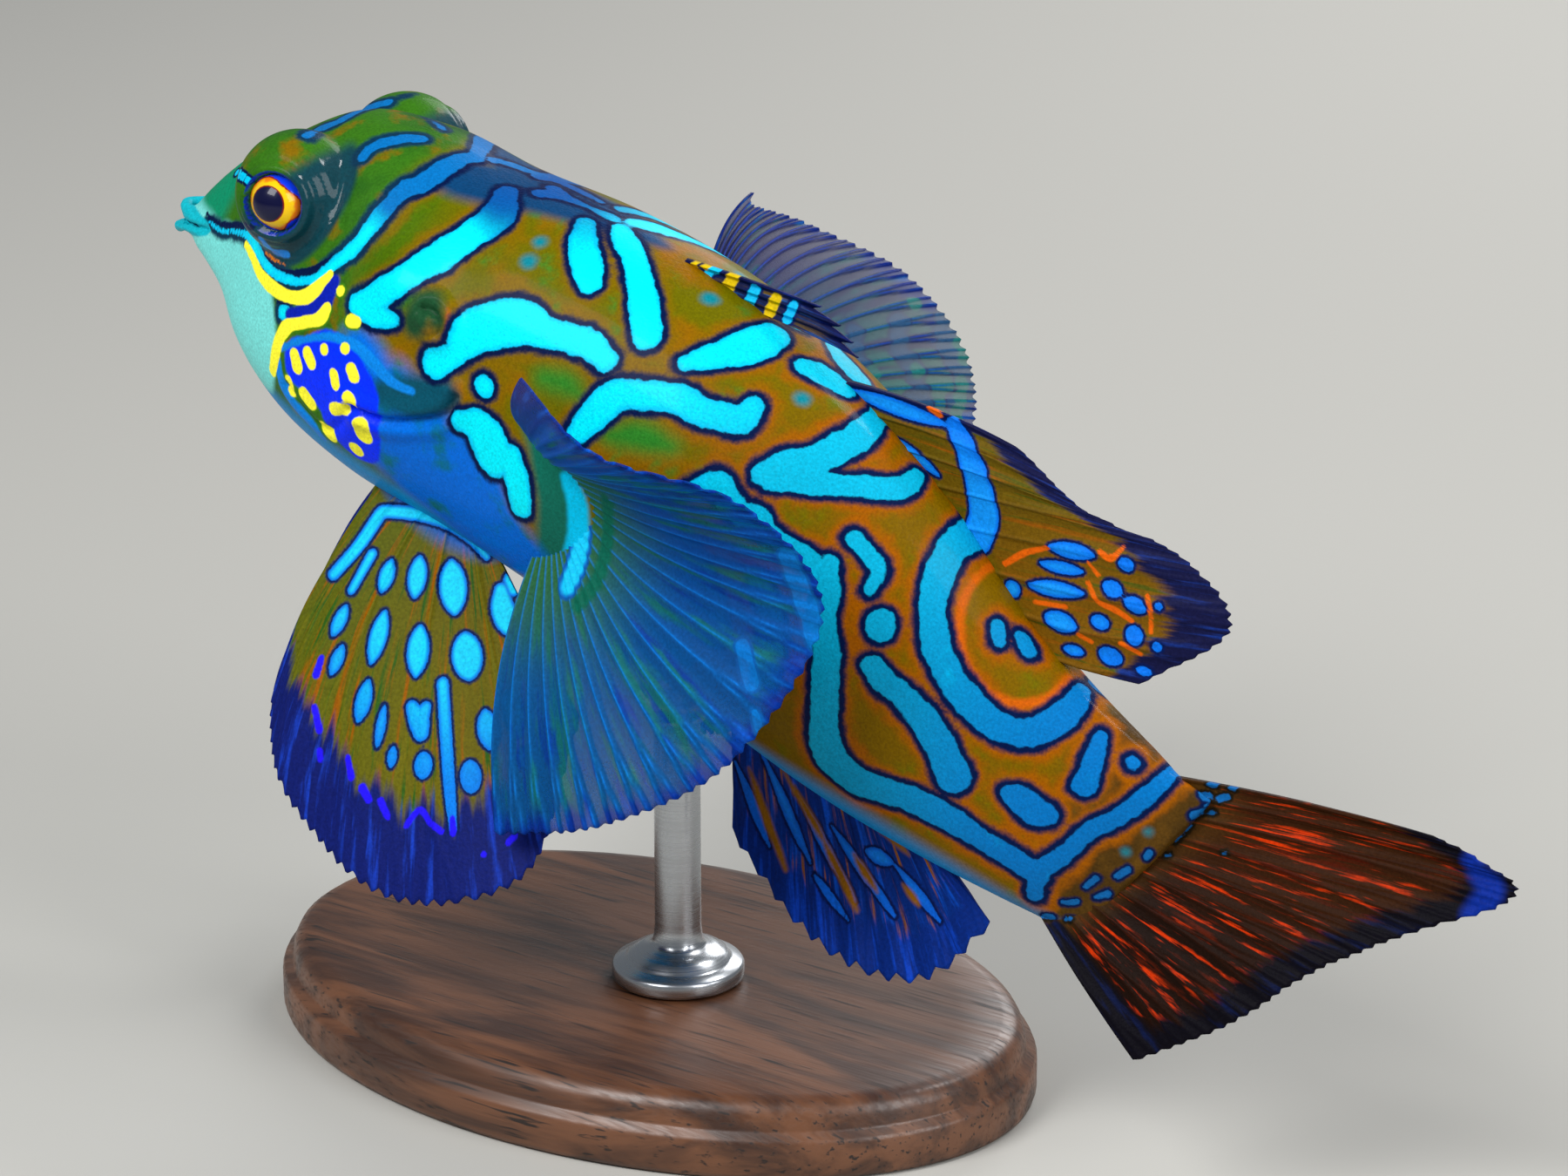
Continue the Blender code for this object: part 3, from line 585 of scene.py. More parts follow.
# thin orange edges inside the loop of the second dorsal fin's root and behind the gill opening
orangeRims = {
    "insideLoop": ((1165, 640, 4), (1135, 652, 5), (1110, 680, 5), (1101, 722, 6), (1112, 770, 6),
                   (1140, 799, 6), (1178, 808, 6), (1208, 798, 5), (1228, 778, 5)),
    "behindGill": ((514, 356, 2), (513, 372, 3), (515, 388, 2)),
}
golds = {
    "cheekLine": ((282, 280, 3), (290, 295, 4), (299, 315, 5), (313, 330, 6), (330, 340, 7), (349, 341, 8),
                  (361, 334, 7), (370, 324, 5), (379, 315, 4)),
    "lowerLine": ((375, 354, 5), (368, 365, 7), (349, 370, 7), (330, 375, 7), (321, 388, 6), (316, 407, 6),
                  (313, 426, 5)),
}
# yellow spots behind the lines and over the blue cheek patch
goldSpots = (((391, 334, 6),), ((403, 368, 8), (409, 370, 7)), ((338, 408, 6), (341, 420, 7)),
             ((353, 406, 6), (357, 416, 6)), ((372, 401, 7),), ((396, 400, 7),),
             ((383, 430, 5), (385, 441, 5)), ((403, 424, 6), (406, 432, 6)), ((331, 436, 4), (337, 450, 4)),
             ((349, 452, 6), (357, 463, 6)), ((398, 456, 6), (404, 464, 5)), ((382, 470, 6), (394, 470, 6)),
             ((374, 489, 6), (380, 499, 7)), ((414, 490, 8), (418, 500, 8)), ((409, 516, 7),))
darks = {
    # the mouth's dark line is painted shade in the slit between the lips
    "mouth": ((238, 245, 2), (243, 253, 3), (257, 258, 4), (276, 259, 4), (288, 261, 3)),
    "eyeArc": ((291, 272, 3), (301, 295, 5), (315, 311, 5), (334, 316, 6), (353, 314, 6), (372, 305, 5),
               (388, 293, 3)),
    "chinLine": ((316, 345, 2), (330, 352, 3)),
}
# where the bands turn from cyan to blue: the top of the cheek's, and those over the two brows
blueTones = {
    "cheek": ((446, 238, 10), (452, 231, 18), (465, 218, 22), (500, 200, 20), (545, 180, 20),
              (590, 190, 16)),
    "brow": ((410, 184, 14), (441, 164, 16), (486, 159, 14)),
    "browFar": ((350, 158, 12), (400, 133, 14), (447, 116, 12)),
}
# broad patches of another ground colour, and the tick beside the snout
patches = {
    "throat": ((240, 282, 18), (262, 292, 18), (268, 318, 28), (275, 350, 36), (285, 388, 36),
               (298, 418, 16), (300, 406, 17), (297, 385, 21), (295, 360, 21), (290, 335, 19),
               (279, 313, 15), (268, 298, 12)),
    "cheekPatch": ((345, 418, 24), (378, 432, 36), (396, 478, 32), (408, 504, 24)),
    "bellyBlue": ((410, 400, 22), (470, 520, 46), (520, 560, 56), (560, 610, 46), (600, 640, 30),
                  (450, 440, 24)),
    "betweenGold": ((332, 361, 8), (349, 359, 10), (365, 352, 12), (376, 334, 10), (384, 322, 6)),
    "gillShade": ((474, 372, 14), (492, 350, 18), (503, 368, 12)),
    "napeShade": ((510, 205, 12), (540, 206, 24), (585, 214, 30), (640, 226, 32), (700, 248, 26),
                  (760, 274, 16)),
    "finRoot": ((612, 480, 12), (628, 530, 20), (640, 580, 24), (640, 640, 24), (632, 690, 18)),
    "rootAqua": ((652, 548, 9), (662, 575, 12), (664, 606, 13), (658, 640, 13), (648, 668, 11)),
    "coverTeal": ((440, 452, 18), (475, 456, 24), (508, 456, 20)),
    "snoutTick": ((272, 198, 4), (279, 203, 4), (286, 208, 4)),
}
# the throat patch runs on under the chin: x, z and reach on the fish's middle line
underChin = ((0.8, -0.5, 1.5), (2.6, -1.0, 3.0), (4.4, -1.7, 4.1), (5.9, -2.3, 4.2))
marking = {
    "sampleStep": 3.0,  # pixels between samples along a stroke
    "chinStep": 0.3,  # the same under the chin, mm
    "reach": 3.0,  # distances past this many millimetres read as this
    "sharpness": 6.0,  # how closely a tone follows the nearest stroke
    "widths": (0.75, 1.5),  # least and most that a slanting surface changes a stroke's width
    "farSide": 0.6,  # strokes cast further right than this stay on the right
    # how the right side's markings are drawn out of true, mm
    "shiftAlong": 0.7,
    "setBack": 0.5,
    "shiftUp": 0.55,
}
# how blue the bands are on the crown and at the rear, and from where to where, mm
tones = {
    "crown": 0.95,
    "crownHeight": (10.2, 11.8),
    "crownEnds": (18.0, 24.0),
    "rear": 0.12,
    "rearStarts": (24.0, 40.0),
}


def thread(points, step=marking["sampleStep"]):
    # even, closely set samples along a stroke
    points = np.asarray(points, float)
    if len(points) == 1:
        return points
    length = np.concatenate([[0.0], np.cumsum(np.linalg.norm(np.diff(points[:, :2], axis=0), axis=1))])
    count = max(2, int(length[-1] / step) + 1)
    return curveThrough(np.linspace(0.0, length[-1], count), length, points)


def castStroke(tree, points):
    # a stroke of the photo as balls on the surface: centres in the fish's frame, and radii
    samples = thread(points)
    ways = np.gradient(samples[:, :2], axis=0) if len(samples) > 1 else np.array([[1.0, 0.0]])
    ways /= np.maximum(np.linalg.norm(ways, axis=1), 1e-6)[:, None]
    beside = np.stack([-ways[:, 1], ways[:, 0]], 1) * samples[:, 2:3]
    centre = castPixels(tree, samples[:, :2])
    first = castPixels(tree, samples[:, :2] + beside)
    second = castPixels(tree, samples[:, :2] - beside)
    flat = samples[:, 2] / photo["pixelsPerMm"]
    least, most = marking["widths"]
    radius = np.clip(np.linalg.norm(first - second, axis=1) / 2, least * flat, most * flat)
    return toFish(centre), radius


def fieldOf(points, centres, radii, values=None):
    # distance in millimetres to the edge of the nearest ball, negative inside, and the mean of
    # the values there; worked in slices along the fish
    distance = np.full(len(points), marking["reach"])
    value = np.zeros(len(points))
    for start in np.arange(points[:, 0].min(), points[:, 0].max() + 1.0, 1.0):
        here = np.where((points[:, 0] >= start) & (points[:, 0] < start + 1.0))[0]
        near = np.where((centres[:, 0] > start - 4.0) & (centres[:, 0] < start + 5.0))[0]
        if len(here) == 0 or len(near) == 0:
            continue
        gaps = np.sqrt(((points[here, None] - centres[None, near]) ** 2).sum(2)) - radii[near]
        nearest = gaps.min(1)
        distance[here] = np.minimum(nearest, marking["reach"])
        if values is not None:
            weight = np.exp(-marking["sharpness"] * (gaps - nearest[:, None]))
            value[here] = (weight * values[near]).sum(1) / weight.sum(1)
    return distance, value


def handed(points):
    # the fish's right side takes the left side's markings, drawn out of true a little
    x, y, z = points.T
    far = smoothStep(y, 0.0, 3.0)
    x = x + far * (marking["shiftAlong"] * np.sin(0.42 * z + 0.3 * x) + marking["setBack"])
    z = z + far * marking["shiftUp"] * np.sin(0.37 * x + 1.2)
    return np.stack([x, -np.abs(y), z], 1)


def markField(points, strokes, tone=None):
    # strokes cast on the far side stay there; the others mark both sides
    cast = [castStroke(skinTree, stroke) for stroke in strokes]
    centres, radii = (np.concatenate(column) for column in zip(*cast))
    far = centres[:, 1] > marking["farSide"]
    near = ~far
    shades = tone(centres) if tone else None
    distance, value = fieldOf(handed(points), centres[near], radii[near],
                              values=None if shades is None else shades[near])
    if far.any():
        other, otherValue = fieldOf(points, centres[far], radii[far],
                                    values=None if shades is None else shades[far])
        value = np.where(other < distance, otherValue, value)
        distance = np.minimum(distance, other)
    return distance, value


def bandTone(centres):
    # bright cyan on the cheek and shoulder, bluer over the nape and the rear
    x, y, z = centres.T
    crown = tones["crown"] * smoothStep(z, *tones["crownHeight"]) * (1 - smoothStep(x, *tones["crownEnds"]))
    rear = tones["rear"] * smoothStep(x, *tones["rearStarts"])
    return np.maximum(crown, rear)


bandField, toneField = markField(skinPoints, bands.values(), bandTone)
marks = {"dot": [[dot] for dot in dots], "stemDot": stemDots, "blue": blues.values(),
         "orange": [underEyeTick], "gold": [*golds.values(), *goldSpots], "dark": darks.values(),
         "ring": orangeRims.values(), "greenPatch": greens.values(), "blueTone": blueTones.values(),
         **{name: [stroke] for name, stroke in patches.items()}}
markFields = {name: markField(skinPoints, strokes)[0] for name, strokes in marks.items()}
chin = thread(underChin, marking["chinStep"])
chinField, _ = fieldOf(skinPoints, np.stack([chin[:, 0], 0 * chin[:, 0], chin[:, 1]], 1), chin[:, 2])
markFields["throat"] = np.minimum(markFields["throat"], chinField)
print("markings cast")


# where each region of the skin starts and ends, mm
regions = {
    "bulge": (3.1, 3.9),  # from the middle of the eye's bulge
    "head": (12.0, 19.0),
    "under": (-2.4, 0.4),  # height
    "mouthEnd": (1.4, 2.4),
    "snout": (2.6, 5.2),
    "stem": (50.5, 54.0),
}


def skinFields(points):
    # what the skin's colours are laid by: the markings, and the regions of the head, belly and tail
    x, y, z = points[:, 0], np.abs(points[:, 1]), points[:, 2]
    offset, height, radius, _ = roundEye(np.stack([x, y, z], 1))
    bulge = 1 - smoothStep(np.linalg.norm(offset, axis=1), *regions["bulge"])
    behind = smoothStep(offset[:, 0] * 0.8 - offset[:, 2] * 0.35, -1.0, 0.5)
    lip = np.full(len(x), marking["reach"])
    mouth = np.where(x < 4.0)[0]
    lip[mouth] = nearestOf(points[mouth], np.concatenate([lipPath(lips["upper"]), lipPath(lips["lower"])]))
    rim = np.where(height > 0.5, np.abs(radius - eye["opening"] - 0.02), marking["reach"])
    return {
        "band": bandField,
        "tone": toneField,
        **markFields,
        "teal": bulge * behind,
        "eyeRim": rim,
        "head": 1 - smoothStep(x + 0.25 * z, *regions["head"]),
        "under": 1 - smoothStep(z + 1.8 * smoothStep(x, 20.0, 30.0), *regions["under"]),
        "lip": lip,
        # distance from the line between the lips, along which the slit's shade is painted dark
        "mouth": (np.abs(z - lips["line"] - lips["rise"] * x)
                  + marking["reach"] * smoothStep(x, *regions["mouthEnd"])),
        "snout": 1 - smoothStep(x + 0.35 * y, *regions["snout"]),
        "along": x / 60.0,
        "stem": smoothStep(x + skin["slant"] * (z - 1.0), *regions["stem"]),
    }


# Wet skin: scaleless hide under a film of clear slime. The film gives it a soft wet gloss, and
# the fine grain under it keeps each colour from lying flat like paint.
skinLook = {
    "bandBright": "#00E6F6",
    "bandEdge": "#00C4F0",
    "bandDeep": "#044C98",
    "bandHead": "#046AB0",
    "bandRear": "#06A8CA",
    "bandTail": "#046CB4",
    "outline": "#021440",
    "headOutline": "#06304A",
    "rimFront": "#785C00",
    "rimRear": "#985200",
    "olive": "#646000",
    "napeOlive": "#466402",
    "frontBrown": "#8A5A00",
    "brown": "#745600",
    "green": "#2C7A22",
    "headGreen": "#336A14",
    "headDark": "#1C5214",
    "headBrown": "#7A5C04",
    "snout": "#0A8A62",
    "teal": "#0C3A44",
    "throat": "#78DAD4",
    "gold": "#FFF838",
    "goldEdge": "#3C7A10",
    "deepBlue": "#0A20A8",
    "orange": "#D8760C",
    "lineBlue": "#0A80DC",
    "gillGreen": "#1C4A2C",
    "coverTeal": "#084C60",
    "napeShade": "#083C68",
    "finRoot": "#106654",
    "ring": "#C45A08",
    "stem": "#46300E",
    "stemLight": "#5C3E10",
    "stemDot": "#0E5C9C",
    "dot": "#067C8C",
    "patchBlue": "#0430FF",
    "bellyBlue": "#0268D4",
    "bellyTeal": "#066A78",
    "underBelly": "#0A8CD0",
    "lip": "#12B4C4",
    "eyeRim": "#0A2C9C",
    "grain": 0.12,  # sizes of the skin's grain, ripples and blotches, mm
    "ripple": 0.45,
    "mottle": 1.8,
    "blotch": 4.5,
    "relief": 0.06,
    "bulgeCoat": 0.6,
}
skinFilm = {"Roughness": 0.45, "IOR": 1.25, "Specular IOR Level": 0.12, "Coat Weight": 0.07,
            "Coat Roughness": 0.1, "Coat IOR": 1.33}
skinFieldNames = ("band", "tone", "teal", "snout", "eyeRim", "head", "under", "lip", "mouth", "along", "stem",
                  *marks)


def paint(tree, shown, coats):
    # one coat of colour over another, each as colour, field, and where it starts and is full
    for above, over, start, end in coats:
        shown = layer(tree, shown, above, over, start, end)
    return shown


def trunkPaint(tree, colour, field, band, uneven, mottle, blotch):
    # olive in front and brown behind, with green blotches and a bright rim along the bands
    front = layer(tree, colour["olive"], colour["frontBrown"], blotch, 0.46, 0.62)
    front = layer(tree, front, colour["green"], mottle, 0.6, 0.8)
    behind = layer(tree, colour["brown"], colour["olive"], mottle, 0.54, 0.74)
    nape = layer(tree, colour["napeOlive"], colour["brown"], mottle, 0.56, 0.8)
    stem = layer(tree, colour["stem"], colour["stemLight"], mottle, 0.45, 0.7)
    rim = layer(tree, colour["rimFront"], colour["rimRear"], field["along"], 0.42, 0.62)
    close = addNode(tree, "ShaderNodeMath", {0: mottle, 1: 1.3, 2: band}, operation="MULTIPLY_ADD")
    return paint(tree, front, (
        (behind, field["along"], 0.46, 0.62),
        (nape, field["head"], 0.0, 0.3),
        (stem, field["stem"], 0.1, 0.9),
        (rim, close, 1.6, 0.95),
        (colour["ring"], uneven("ring"), 0.16, -0.16),
        (colour["green"], uneven("greenPatch"), 0.6, -0.6)))


def headPaint(tree, colour, field, mottle, blotch):
    # green over the crown and brows, teal behind the eyes and sea green on the snout
    crown = layer(tree, colour["headGreen"], colour["headDark"], blotch, 0.46, 0.7)
    return paint(tree, crown, (
        (colour["headBrown"], mottle, 0.52, 0.7),
        (colour["snout"], field["snout"], 0.2, 0.9),
        (colour["teal"], field["teal"], 0.1, 0.8)))


def bandPaint(tree, colour, field, band, mottle):
    # cyan at the heart of a band, deeper at its edge, towards the tail and over the nape and brows
    heart = layer(tree, colour["bandBright"], colour["bandEdge"], band, -0.3, 0.0)
    return paint(tree, heart, (
        (colour["bandRear"], field["along"], 0.42, 0.62),
        (colour["bandTail"], field["along"], 0.62, 0.86),
        (colour["bandEdge"], mottle, 0.6, 0.9),
        (colour["bandDeep"], field["tone"], 0.1, 1.0),
        (colour["bandHead"], field["blueTone"], 1.1, -0.5)))


def wetSkin():
    # the film's gloss is kept low, so that the colours stay as deep as they are under water
    material, tree, shader = newMaterial("wetSkin", skinFilm)
    place = addNode(tree, "ShaderNodeTexCoord", out="Object")
    colour = {key: linear(value) for key, value in skinLook.items() if isinstance(value, str)}
    field = {name: addNode(tree, "ShaderNodeAttribute", attribute_name=name, out="Fac")
             for name in skinFieldNames}
    grain, ripple, mottle, blotch = (
        addNode(tree, "ShaderNodeTexNoise", {"Vector": place, "Scale": 1.0 / (skinLook[name] * mm),
                                             "Detail": detail, "Roughness": 0.55})
        for name, detail in (("grain", 3.0), ("ripple", 2.0), ("mottle", 4.0), ("blotch", 3.0)))

    def uneven(name, fine=0.09, broad=0.16):
        # a distance field with an uneven edge
        edge = addNode(tree, "ShaderNodeMath", {0: grain, 1: fine, 2: field[name]}, operation="MULTIPLY_ADD")
        edge = addNode(tree, "ShaderNodeMath", {0: ripple, 1: broad, 2: edge}, operation="MULTIPLY_ADD")
        return addNode(tree, "ShaderNodeMath", {0: edge, 1: (fine + broad) / 2}, operation="SUBTRACT")

    # the bands swell and narrow a little along their way
    band = addNode(tree, "ShaderNodeMath", {0: mottle, 1: 0.42, 2: uneven("band")}, operation="MULTIPLY_ADD")
    band = addNode(tree, "ShaderNodeMath", {0: band, 1: 0.21}, operation="SUBTRACT")
    belly = layer(tree, colour["bellyBlue"], colour["bellyTeal"], mottle, 0.5, 0.72)
    edge = layer(tree, colour["outline"], colour["headOutline"], field["head"], 0.3, 0.9)
    gold, stemDot = uneven("gold", 0.05, 0.08), uneven("stemDot")
    tick = uneven("snoutTick", 0.05, 0.05)
    shown = paint(tree, trunkPaint(tree, colour, field, band, uneven, mottle, blotch), (
        (headPaint(tree, colour, field, mottle, blotch), field["head"], 0.35, 0.8),
        # shaded and pale regions
        (colour["napeShade"], field["napeShade"], 0.5, -0.5),
        (colour["finRoot"], uneven("finRoot"), 0.4, -0.4),
        (colour["bandEdge"], uneven("rootAqua"), 0.12, -0.2),
        (colour["underBelly"], field["under"], 0.3, 1.0),
        (belly, field["bellyBlue"], 0.6, -0.6),
        (colour["goldEdge"], gold, 0.18, 0.04),
        (colour["throat"], uneven("throat"), 0.6, 0.1),
        (colour["gillGreen"], uneven("gillShade"), 0.4, -0.4),
        (colour["coverTeal"], uneven("coverTeal"), 0.4, -0.4),
        # bands in their dark outline, over the cheek patch and the lines
        (edge, band, 0.46, 0.16),
        (colour["patchBlue"], uneven("cheekPatch"), 0.12, -0.12),
        (colour["lineBlue"], uneven("blue"), 0.1, -0.06),
        (colour["outline"], uneven("dark"), 0.06, -0.03),
        (colour["lip"], field["lip"], 0.46, 0.34),
        # painted shade in the slit between the lips, along the mouth line
        (colour["outline"], field["mouth"], 0.13, 0.05),
        (bandPaint(tree, colour, field, band, mottle), band, 0.05, -0.05),
        # dots, ticks and the gold of the cheek
        (colour["dot"], uneven("dot"), 0.25, -0.25),
        (colour["outline"], stemDot, 0.22, 0.06),
        (colour["stemDot"], stemDot, 0.04, -0.04),
        (colour["outline"], tick, 0.2, 0.1),
        (colour["bandEdge"], tick, 0.04, -0.02),
        (colour["deepBlue"], uneven("betweenGold"), 0.1, -0.1),
        (colour["gold"], gold, 0.06, -0.03),
        (colour["orange"], field["orange"], 0.06, -0.02),
        (colour["eyeRim"], field["eyeRim"], 0.1, 0.03)))
    shade = addNode(tree, "ShaderNodeMapRange", {0: grain, 1: 0.3, 2: 0.7, 3: 0.8, 4: 1.14})
    shown = addNode(tree, "ShaderNodeMix", {0: 1.0, 6: shown, 7: shade}, out=2,
                    data_type="RGBA", blend_type="MULTIPLY")
    tree.links.new(shown, shader.inputs["Base Color"])
    # the clear skin over the bulges is tight, and takes a stronger glint than the rest
    wet = addNode(tree, "ShaderNodeMapRange", {0: field["teal"], 1: 0.1, 2: 0.9,
                                               3: skinFilm["Coat Weight"], 4: skinLook["bulgeCoat"]})
    tree.links.new(wet, shader.inputs["Coat Weight"])
    relief = addNode(tree, "ShaderNodeMath", {0: ripple, 1: 1.6, 2: grain}, operation="MULTIPLY_ADD")
    normal = addNode(tree, "ShaderNodeBump", {"Strength": 0.35, "Distance": skinLook["relief"] * mm,
                                              "Height": relief})
    tree.links.new(normal, shader.inputs["Normal"])
    return material


addPiece("fishSkin", skinModel, skinFaces, wetSkin(), ("head", "trunk", "tail"),
         skinFields(skinPoints))
print("skin coloured")

# Fins: thin sheets over soft rays that branch towards the edge
finSink = 0.8  # how deep the middle fins are rooted in the back and belly, mm


def onBack(x):
    return (x, 0.0, float(stationAt(x, 1)[0]) - finSink)


def onBelly(x):
    return (x, 0.0, float(stationAt(x, 2)[0]) + finSink)


def onTail(part):
    top, bottom = float(stationAt(skin["tailX"], 1)[0]), float(stationAt(skin["tailX"], 2)[0])
    z = top - 0.35 + (bottom - top + 0.7) * part
    return (skin["tailX"] - 0.6 + skin["slant"] * (z - float(stationAt(skin["tailX"], 3)[0])), 0.0, z)


def fromPelvis(along, outward, reach):
    return (16.0 + along, -3.9 - 0.5 * reach - outward, -2.4 - 0.866 * reach)


# root, tip and bow of a few rays of each fin, in the fish's frame
finRays = {
    "dorsalFirst": ((onBack(22.0), (31.8, -0.3, 15.0), (0.0, 0.0, 0.25)),
                    (onBack(24.2), (33.4, -0.3, 14.5), (0.0, 0.0, 0.2)),
                    (onBack(26.4), (34.2, -0.3, 13.8), (0.0, 0.0, 0.2))),
    "dorsalSecond": ((onBack(32.8), (42.4, -0.6, 14.1), (0.0, -0.2, 0.5)),
                     (onBack(36.2), (46.6, -0.8, 13.3), (0.0, -0.4, 0.3)),
                     (onBack(39.8), (51.0, -0.8, 13.9), (0.0, -0.5, 0.1)),
                     (onBack(43.4), (54.3, -0.6, 12.4), (0.0, -0.5, -0.2)),
                     (onBack(46.6), (51.9, -0.4, 8.1), (0.0, -0.2, -0.1))),
    "anal": ((onBelly(34.6), (37.6, 0.0, -9.5), (-0.2, 0.3, 0.0)),
             (onBelly(37.6), (42.4, 0.0, -10.8), (-0.2, 0.4, 0.0)),
             (onBelly(40.6), (46.4, 0.0, -10.6), (-0.2, 0.5, 0.0)),
             (onBelly(43.4), (49.6, 0.0, -8.8), (-0.1, 0.4, 0.0)),
             (onBelly(46.2), (51.0, 0.0, -5.0), (0.0, 0.0, 0.0))),
    "caudal": ((onTail(0.0), (66.2, 0.3, 9.7), (0.0, 0.5, 0.1)),
               (onTail(0.2), (70.3, 0.6, 9.5), (0.0, 0.6, 0.1)),
               (onTail(0.42), (67.0, 0.2, 5.2), (0.0, 0.4, 0.0)),
               (onTail(0.62), (64.6, -0.4, 1.8), (0.0, 0.1, 0.0)),
               (onTail(0.82), (62.8, -0.9, -1.9), (0.0, -0.2, 0.0)),
               (onTail(1.0), (60.0, -1.2, -5.7), (0.0, -0.3, 0.0))),
    "pectoralLeft": (((24.8, -5.3, 5.0), (27.8, -15.6, 13.4), (-0.6, -0.6, -0.4)),
                     ((25.0, -5.3, 4.6), (32.6, -16.2, 12.0), (-0.4, -0.8, 0.0)),
                     ((25.2, -5.3, 4.2), (37.6, -12.4, 10.8), (-0.2, -1.2, 0.4)),
                     ((25.4, -5.3, 3.7), (41.6, -9.8, 6.8), (0.0, -1.0, 0.0)),
                     ((25.6, -5.3, 3.1), (41.0, -10.6, -0.8), (0.0, -1.0, 0.0)),
                     ((25.8, -5.3, 2.5), (37.0, -11.0, -6.2), (0.0, -1.0, 0.0)),
                     ((26.0, -5.3, 1.9), (31.5, -10.2, -10.4), (-1.0, -0.6, 0.0))),
    "pectoralRight": (((24.8, 5.6, 5.0), (18.3, 16.2, 8.2), (-1.4, 0.4, 0.4)),
                      ((25.0, 5.6, 4.6), (20.6, 18.4, 7.2), (-1.8, 0.4, 0.6)),
                      ((25.3, 5.6, 4.0), (25.2, 20.6, 6.6), (-1.0, 0.0, 0.6)),
                      ((25.6, 5.6, 3.4), (29.8, 21.0, 4.6), (-0.4, 0.0, 0.3)),
                      ((25.8, 5.6, 2.7), (31.2, 20.0, 0.8), (0.0, 0.0, 0.0)),
                      ((26.0, 5.6, 2.0), (27.6, 15.8, -4.8), (0.0, 0.0, -0.4))),
    "pelvicLeft": ((fromPelvis(0.5, 0, 0), fromPelvis(1.1, 0, 8.0), (-0.3, -0.3, 0.0)),
                   (fromPelvis(1.7, 0, 0), fromPelvis(2.8, 0.2, 12.6), (-0.7, -0.6, 0.0)),
                   (fromPelvis(3.0, 0, 0), fromPelvis(7.4, 0.3, 15.0), (-0.6, -0.9, 0.0)),
                   (fromPelvis(4.3, 0, 0), fromPelvis(13.0, 0.2, 15.0), (0.0, -0.9, 0.0)),
                   (fromPelvis(5.6, 0, 0), fromPelvis(17.2, 0, 10.8), (0.4, -0.5, 0.0)),
                   (fromPelvis(6.9, 0, 0), fromPelvis(15.0, 0, 3.9), (0.2, -0.2, 0.0))),
    "pelvicRight": ((fromPelvis(0.8, 0, 0), fromPelvis(4.2, -1.2, 7.0), (-0.6, -0.3, 0.0)),
                    (fromPelvis(2.0, 0, 0), fromPelvis(7.6, -1.6, 10.6), (-0.7, -0.5, 0.0)),
                    (fromPelvis(3.2, 0, 0), fromPelvis(12.2, -2.0, 11.6), (-0.3, -0.7, 0.0)),
                    (fromPelvis(4.4, 0, 0), fromPelvis(15.6, -1.8, 9.4), (0.0, -0.7, 0.0)),
                    (fromPelvis(5.6, 0, 0), fromPelvis(17.0, -1.2, 6.0), (0.2, -0.4, 0.0)),
                    (fromPelvis(6.8, 0, 0), fromPelvis(15.6, -0.6, 3.0), (0.2, -0.2, 0.0))),
}
finRays["pelvicRight"] = tuple(tuple((x, -y, z) for x, y, z in ray) for ray in finRays["pelvicRight"])

# rays: how many; perRay: columns for each; splits: where a ray forks, as a share of its length;
# notch: depth between rays, as a share too; wave: sag of the web, mm; lead and trail: how many
# rays wide the dark border is in front and behind; dip: how far the web behind the first ray falls short
finForms = {
    "dorsalFirst": {"node": "dorsal_fin_first", "rays": 4, "perRay": 24, "rows": 50, "splits": (),
                    "rayWidth": 0.16, "rayHeight": 0.09, "notch": 0.1, "wave": 0.05, "lead": 0.3,
                    "trail": 0.0},
    "dorsalSecond": {"node": "dorsal_fin_second", "rays": 8, "perRay": 28, "rows": 60,
                     "splits": (0.45, 0.75), "rayWidth": 0.13, "rayHeight": 0.09, "notch": 0.018,
                     "wave": 0.06, "lead": 0.5, "trail": 0.0},
    "anal": {"node": "anal_fin", "rays": 8, "perRay": 28, "rows": 50, "splits": (0.6,),
             "rayWidth": 0.14, "rayHeight": 0.1, "notch": 0.05, "wave": 0.08, "lead": 0.3, "trail": 0.4},
    "caudal": {"node": "caudal_fin", "rays": 10, "perRay": 30, "rows": 70, "splits": (0.3, 0.62),
               "rayWidth": 0.14, "rayHeight": 0.1, "notch": 0.014, "wave": 0.06, "lead": 0.0,
               "trail": 0.9},
    "pectoralLeft": {"node": "pectoral_fin_left", "rays": 29, "perRay": 9, "rows": 70, "splits": (0.7,),
                     "rayWidth": 0.1, "rayHeight": 0.08, "notch": 0.012, "wave": 0.06, "lead": 3.4,
                     "trail": 0.0},
    "pectoralRight": {"node": "pectoral_fin_right", "rays": 29, "perRay": 9, "rows": 60, "splits": (0.7,),
                      "rayWidth": 0.08, "rayHeight": 0.08, "notch": 0.014, "dip": 0.08, "wave": 0.06,
                      "lead": 0.7, "trail": 0.0},
    "pelvicLeft": {"node": "pelvic_fin_left", "rays": 6, "perRay": 48, "rows": 80,
                   "splits": (0.25, 0.5, 0.75), "rayWidth": 0.12, "rayHeight": 0.09, "notch": 0.022,
                   "wave": 0.11, "lead": 0.14, "trail": 0.0},
}
finForms["pelvicRight"] = {**finForms["pelvicLeft"], "node": "pelvic_fin_right"}
membrane = {"root": 0.14, "edge": 0.05}  # half the thickness, mm


